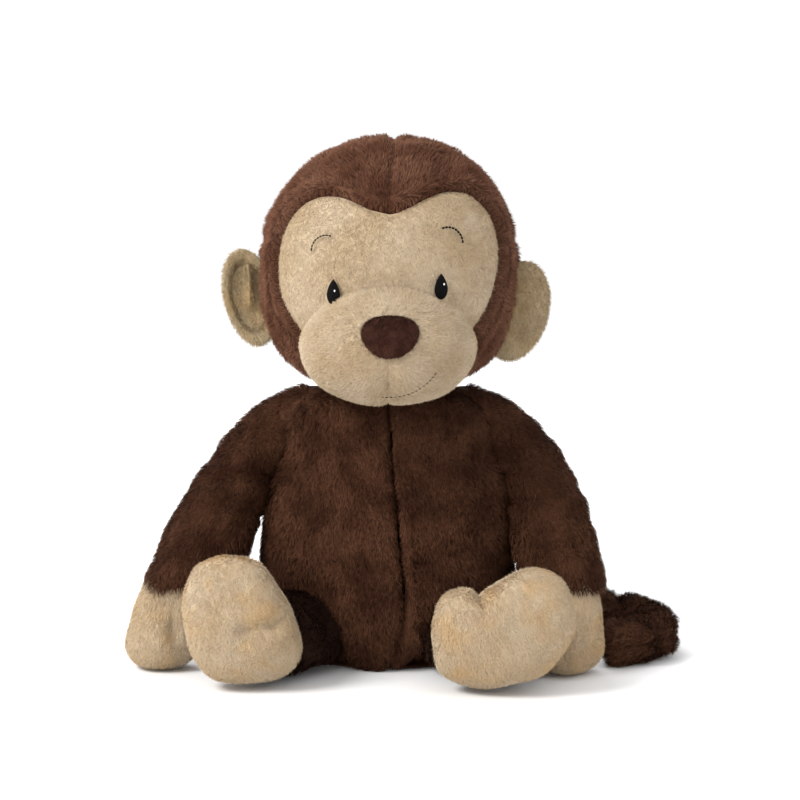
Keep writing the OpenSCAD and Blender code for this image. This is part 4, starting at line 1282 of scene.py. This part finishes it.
def makeTail():
    # a tube of two halves with a rounded end and slow rings along it
    path = curve(tail["route"], tail["rows"])
    t = np.linspace(0, 1, tail["rows"])
    cap = np.sqrt(1 - np.clip((t - 1 + tail["cap"]) / tail["cap"], 0, 0.999) ** 2)
    radius = tail["radius"] * (0.06 + 0.94 * cap) * (1 + 0.05 * np.sin(t * 60))
    line = np.concatenate([path, radius[:, None], radius[:, None]], 1)
    root = {"from": "torso", "to": "tail", "start": (0.024, 0.050, 0.024), "end": (0.030, 0.080, 0.024)}
    for k, (node, low, high) in enumerate((("tail_upper", 0, 180), ("tail_under", 180, 360))):
        grid = tube(line, np.linspace(low, high, 30), np.array([0, 0, 1.0]))
        grid = grid + unit(grid - path[:, None]) * (ripple(grid, 17, 40) * tail["wrinkle"])[..., None]
        grid[..., 2] = np.maximum(grid[..., 2], 1.0)
        grid = facingOut(grid, line[:, None, :3])
        grid = seamed(grid, ["left", "right"], tail["seamDip"], tail["seamWidth"])
        pile = dict(longPile, density=1.2, width=0.45, length=6.5, tufting=0.9, messy=0.4, heave=20.0)
        cover(node, grid, lineNap(grid), brownPair, pile, 800 + k, root,
              [node] + ["tail_stuffing"] * k)


makeTail()
print("tail made")

# Ears

ears = {
    # the right ear is a dish with a stitched rim; the left one is puffed out
    "left": {"middle": (89.0, -6.0, 245.0), "half": (22.0, 35.0), "lean": 14.0, "dish": -5.0, "thick": 6.0,
             "groove": 0.0, "fold": 0.0},
    "right": {"middle": (95.5, -6.0, 254.5), "half": (18.0, 34.0), "lean": 13.0, "dish": 8.0, "thick": 5.0,
              "groove": 2.6, "fold": 5.0},
    "rim": 0.72, "rimSoft": 0.05,
}


def makeEar(side, sign, seed):
    # Disc in the plane of the face, worked out for the left side: depth is the dish, the padding
    # of the rim and, on the right ear, a stitched groove and a fold of the lining
    ear = ears[side]
    a = np.radians(np.linspace(0, 360, 97))
    s = np.linspace(0.03, 1.0, 40)[:, None]
    lean = np.radians(ear["lean"])
    fold = {
        "from": "head", "to": "ear_" + side,
        "start": (sign * 0.080, 0, 0.250), "end": (sign * 0.092, 0, 0.250),
    }
    u = ear["half"][0] * s * np.cos(a)
    v = ear["half"][1] * s * np.sin(a)
    pad = ear["thick"] * np.sqrt(1 - np.minimum(s, 0.9999) ** 2.4)
    lining = np.clip((ears["rim"] - s) / ears["rimSoft"] + 0.5, 0, 1) * (ear["groove"] > 0)
    groove = ear["groove"] * np.exp(-((s - ears["rim"]) / ears["rimSoft"]) ** 2)
    along = np.clip((27 - v) / 33, 0, 1)
    beside = (u + 5 - 7 * along) / 2.6
    ridge = ear["fold"] * np.exp(-beside ** 2) * np.exp(-np.maximum(-4 - v, 0) ** 2 / 9)
    hollow = 0.8 * ear["fold"] * np.exp(-((u + 10) / 5) ** 2 - ((v - 4) / 16) ** 2)
    middle = ear["dish"] * (1 - s ** 2)
    depths = {
        "front": middle - pad * (1 - 0.7 * lining) + groove + (hollow - ridge) * lining,
        "back": middle + pad,
    }
    for node, depth in depths.items():
        x = ear["middle"][0] + u * np.cos(lean) + v * np.sin(lean)
        z = ear["middle"][2] - u * np.sin(lean) + v * np.cos(lean)
        grid = np.stack(np.broadcast_arrays(x, ear["middle"][1] + depth, z), -1)
        grid = grid + [0, 1.0, 0] * ripple(grid, 30, seed)[..., None]
        grid[:, -1] = grid[:, 0]
        grid = grid * [sign, 1, 1]
        behind = 60 if node == "front" else -60
        centre = np.array([sign * ear["middle"][0], ear["middle"][1] + behind, ear["middle"][2]])
        grid = facingOut(grid, centre)
        name = "ear_" + side + "_" + node
        pile = dict(shortPile, length=3.2, density=2.0, messy=0.45)
        nap = unit(grid - centre) * [1, 0.1, 1] + [0, 0, -0.5]
        # ears take the darker golden tan, painted shade beside the head
        cover(name, grid, nap, earShadePair, pile, 900 + seed * 10 + (node == "front"), fold,
              [name], dish=0.8)


for side, sign, seed in (("left", 1, 3), ("right", -1, 4)):
    makeEar(side, sign, seed)
print("ears made")
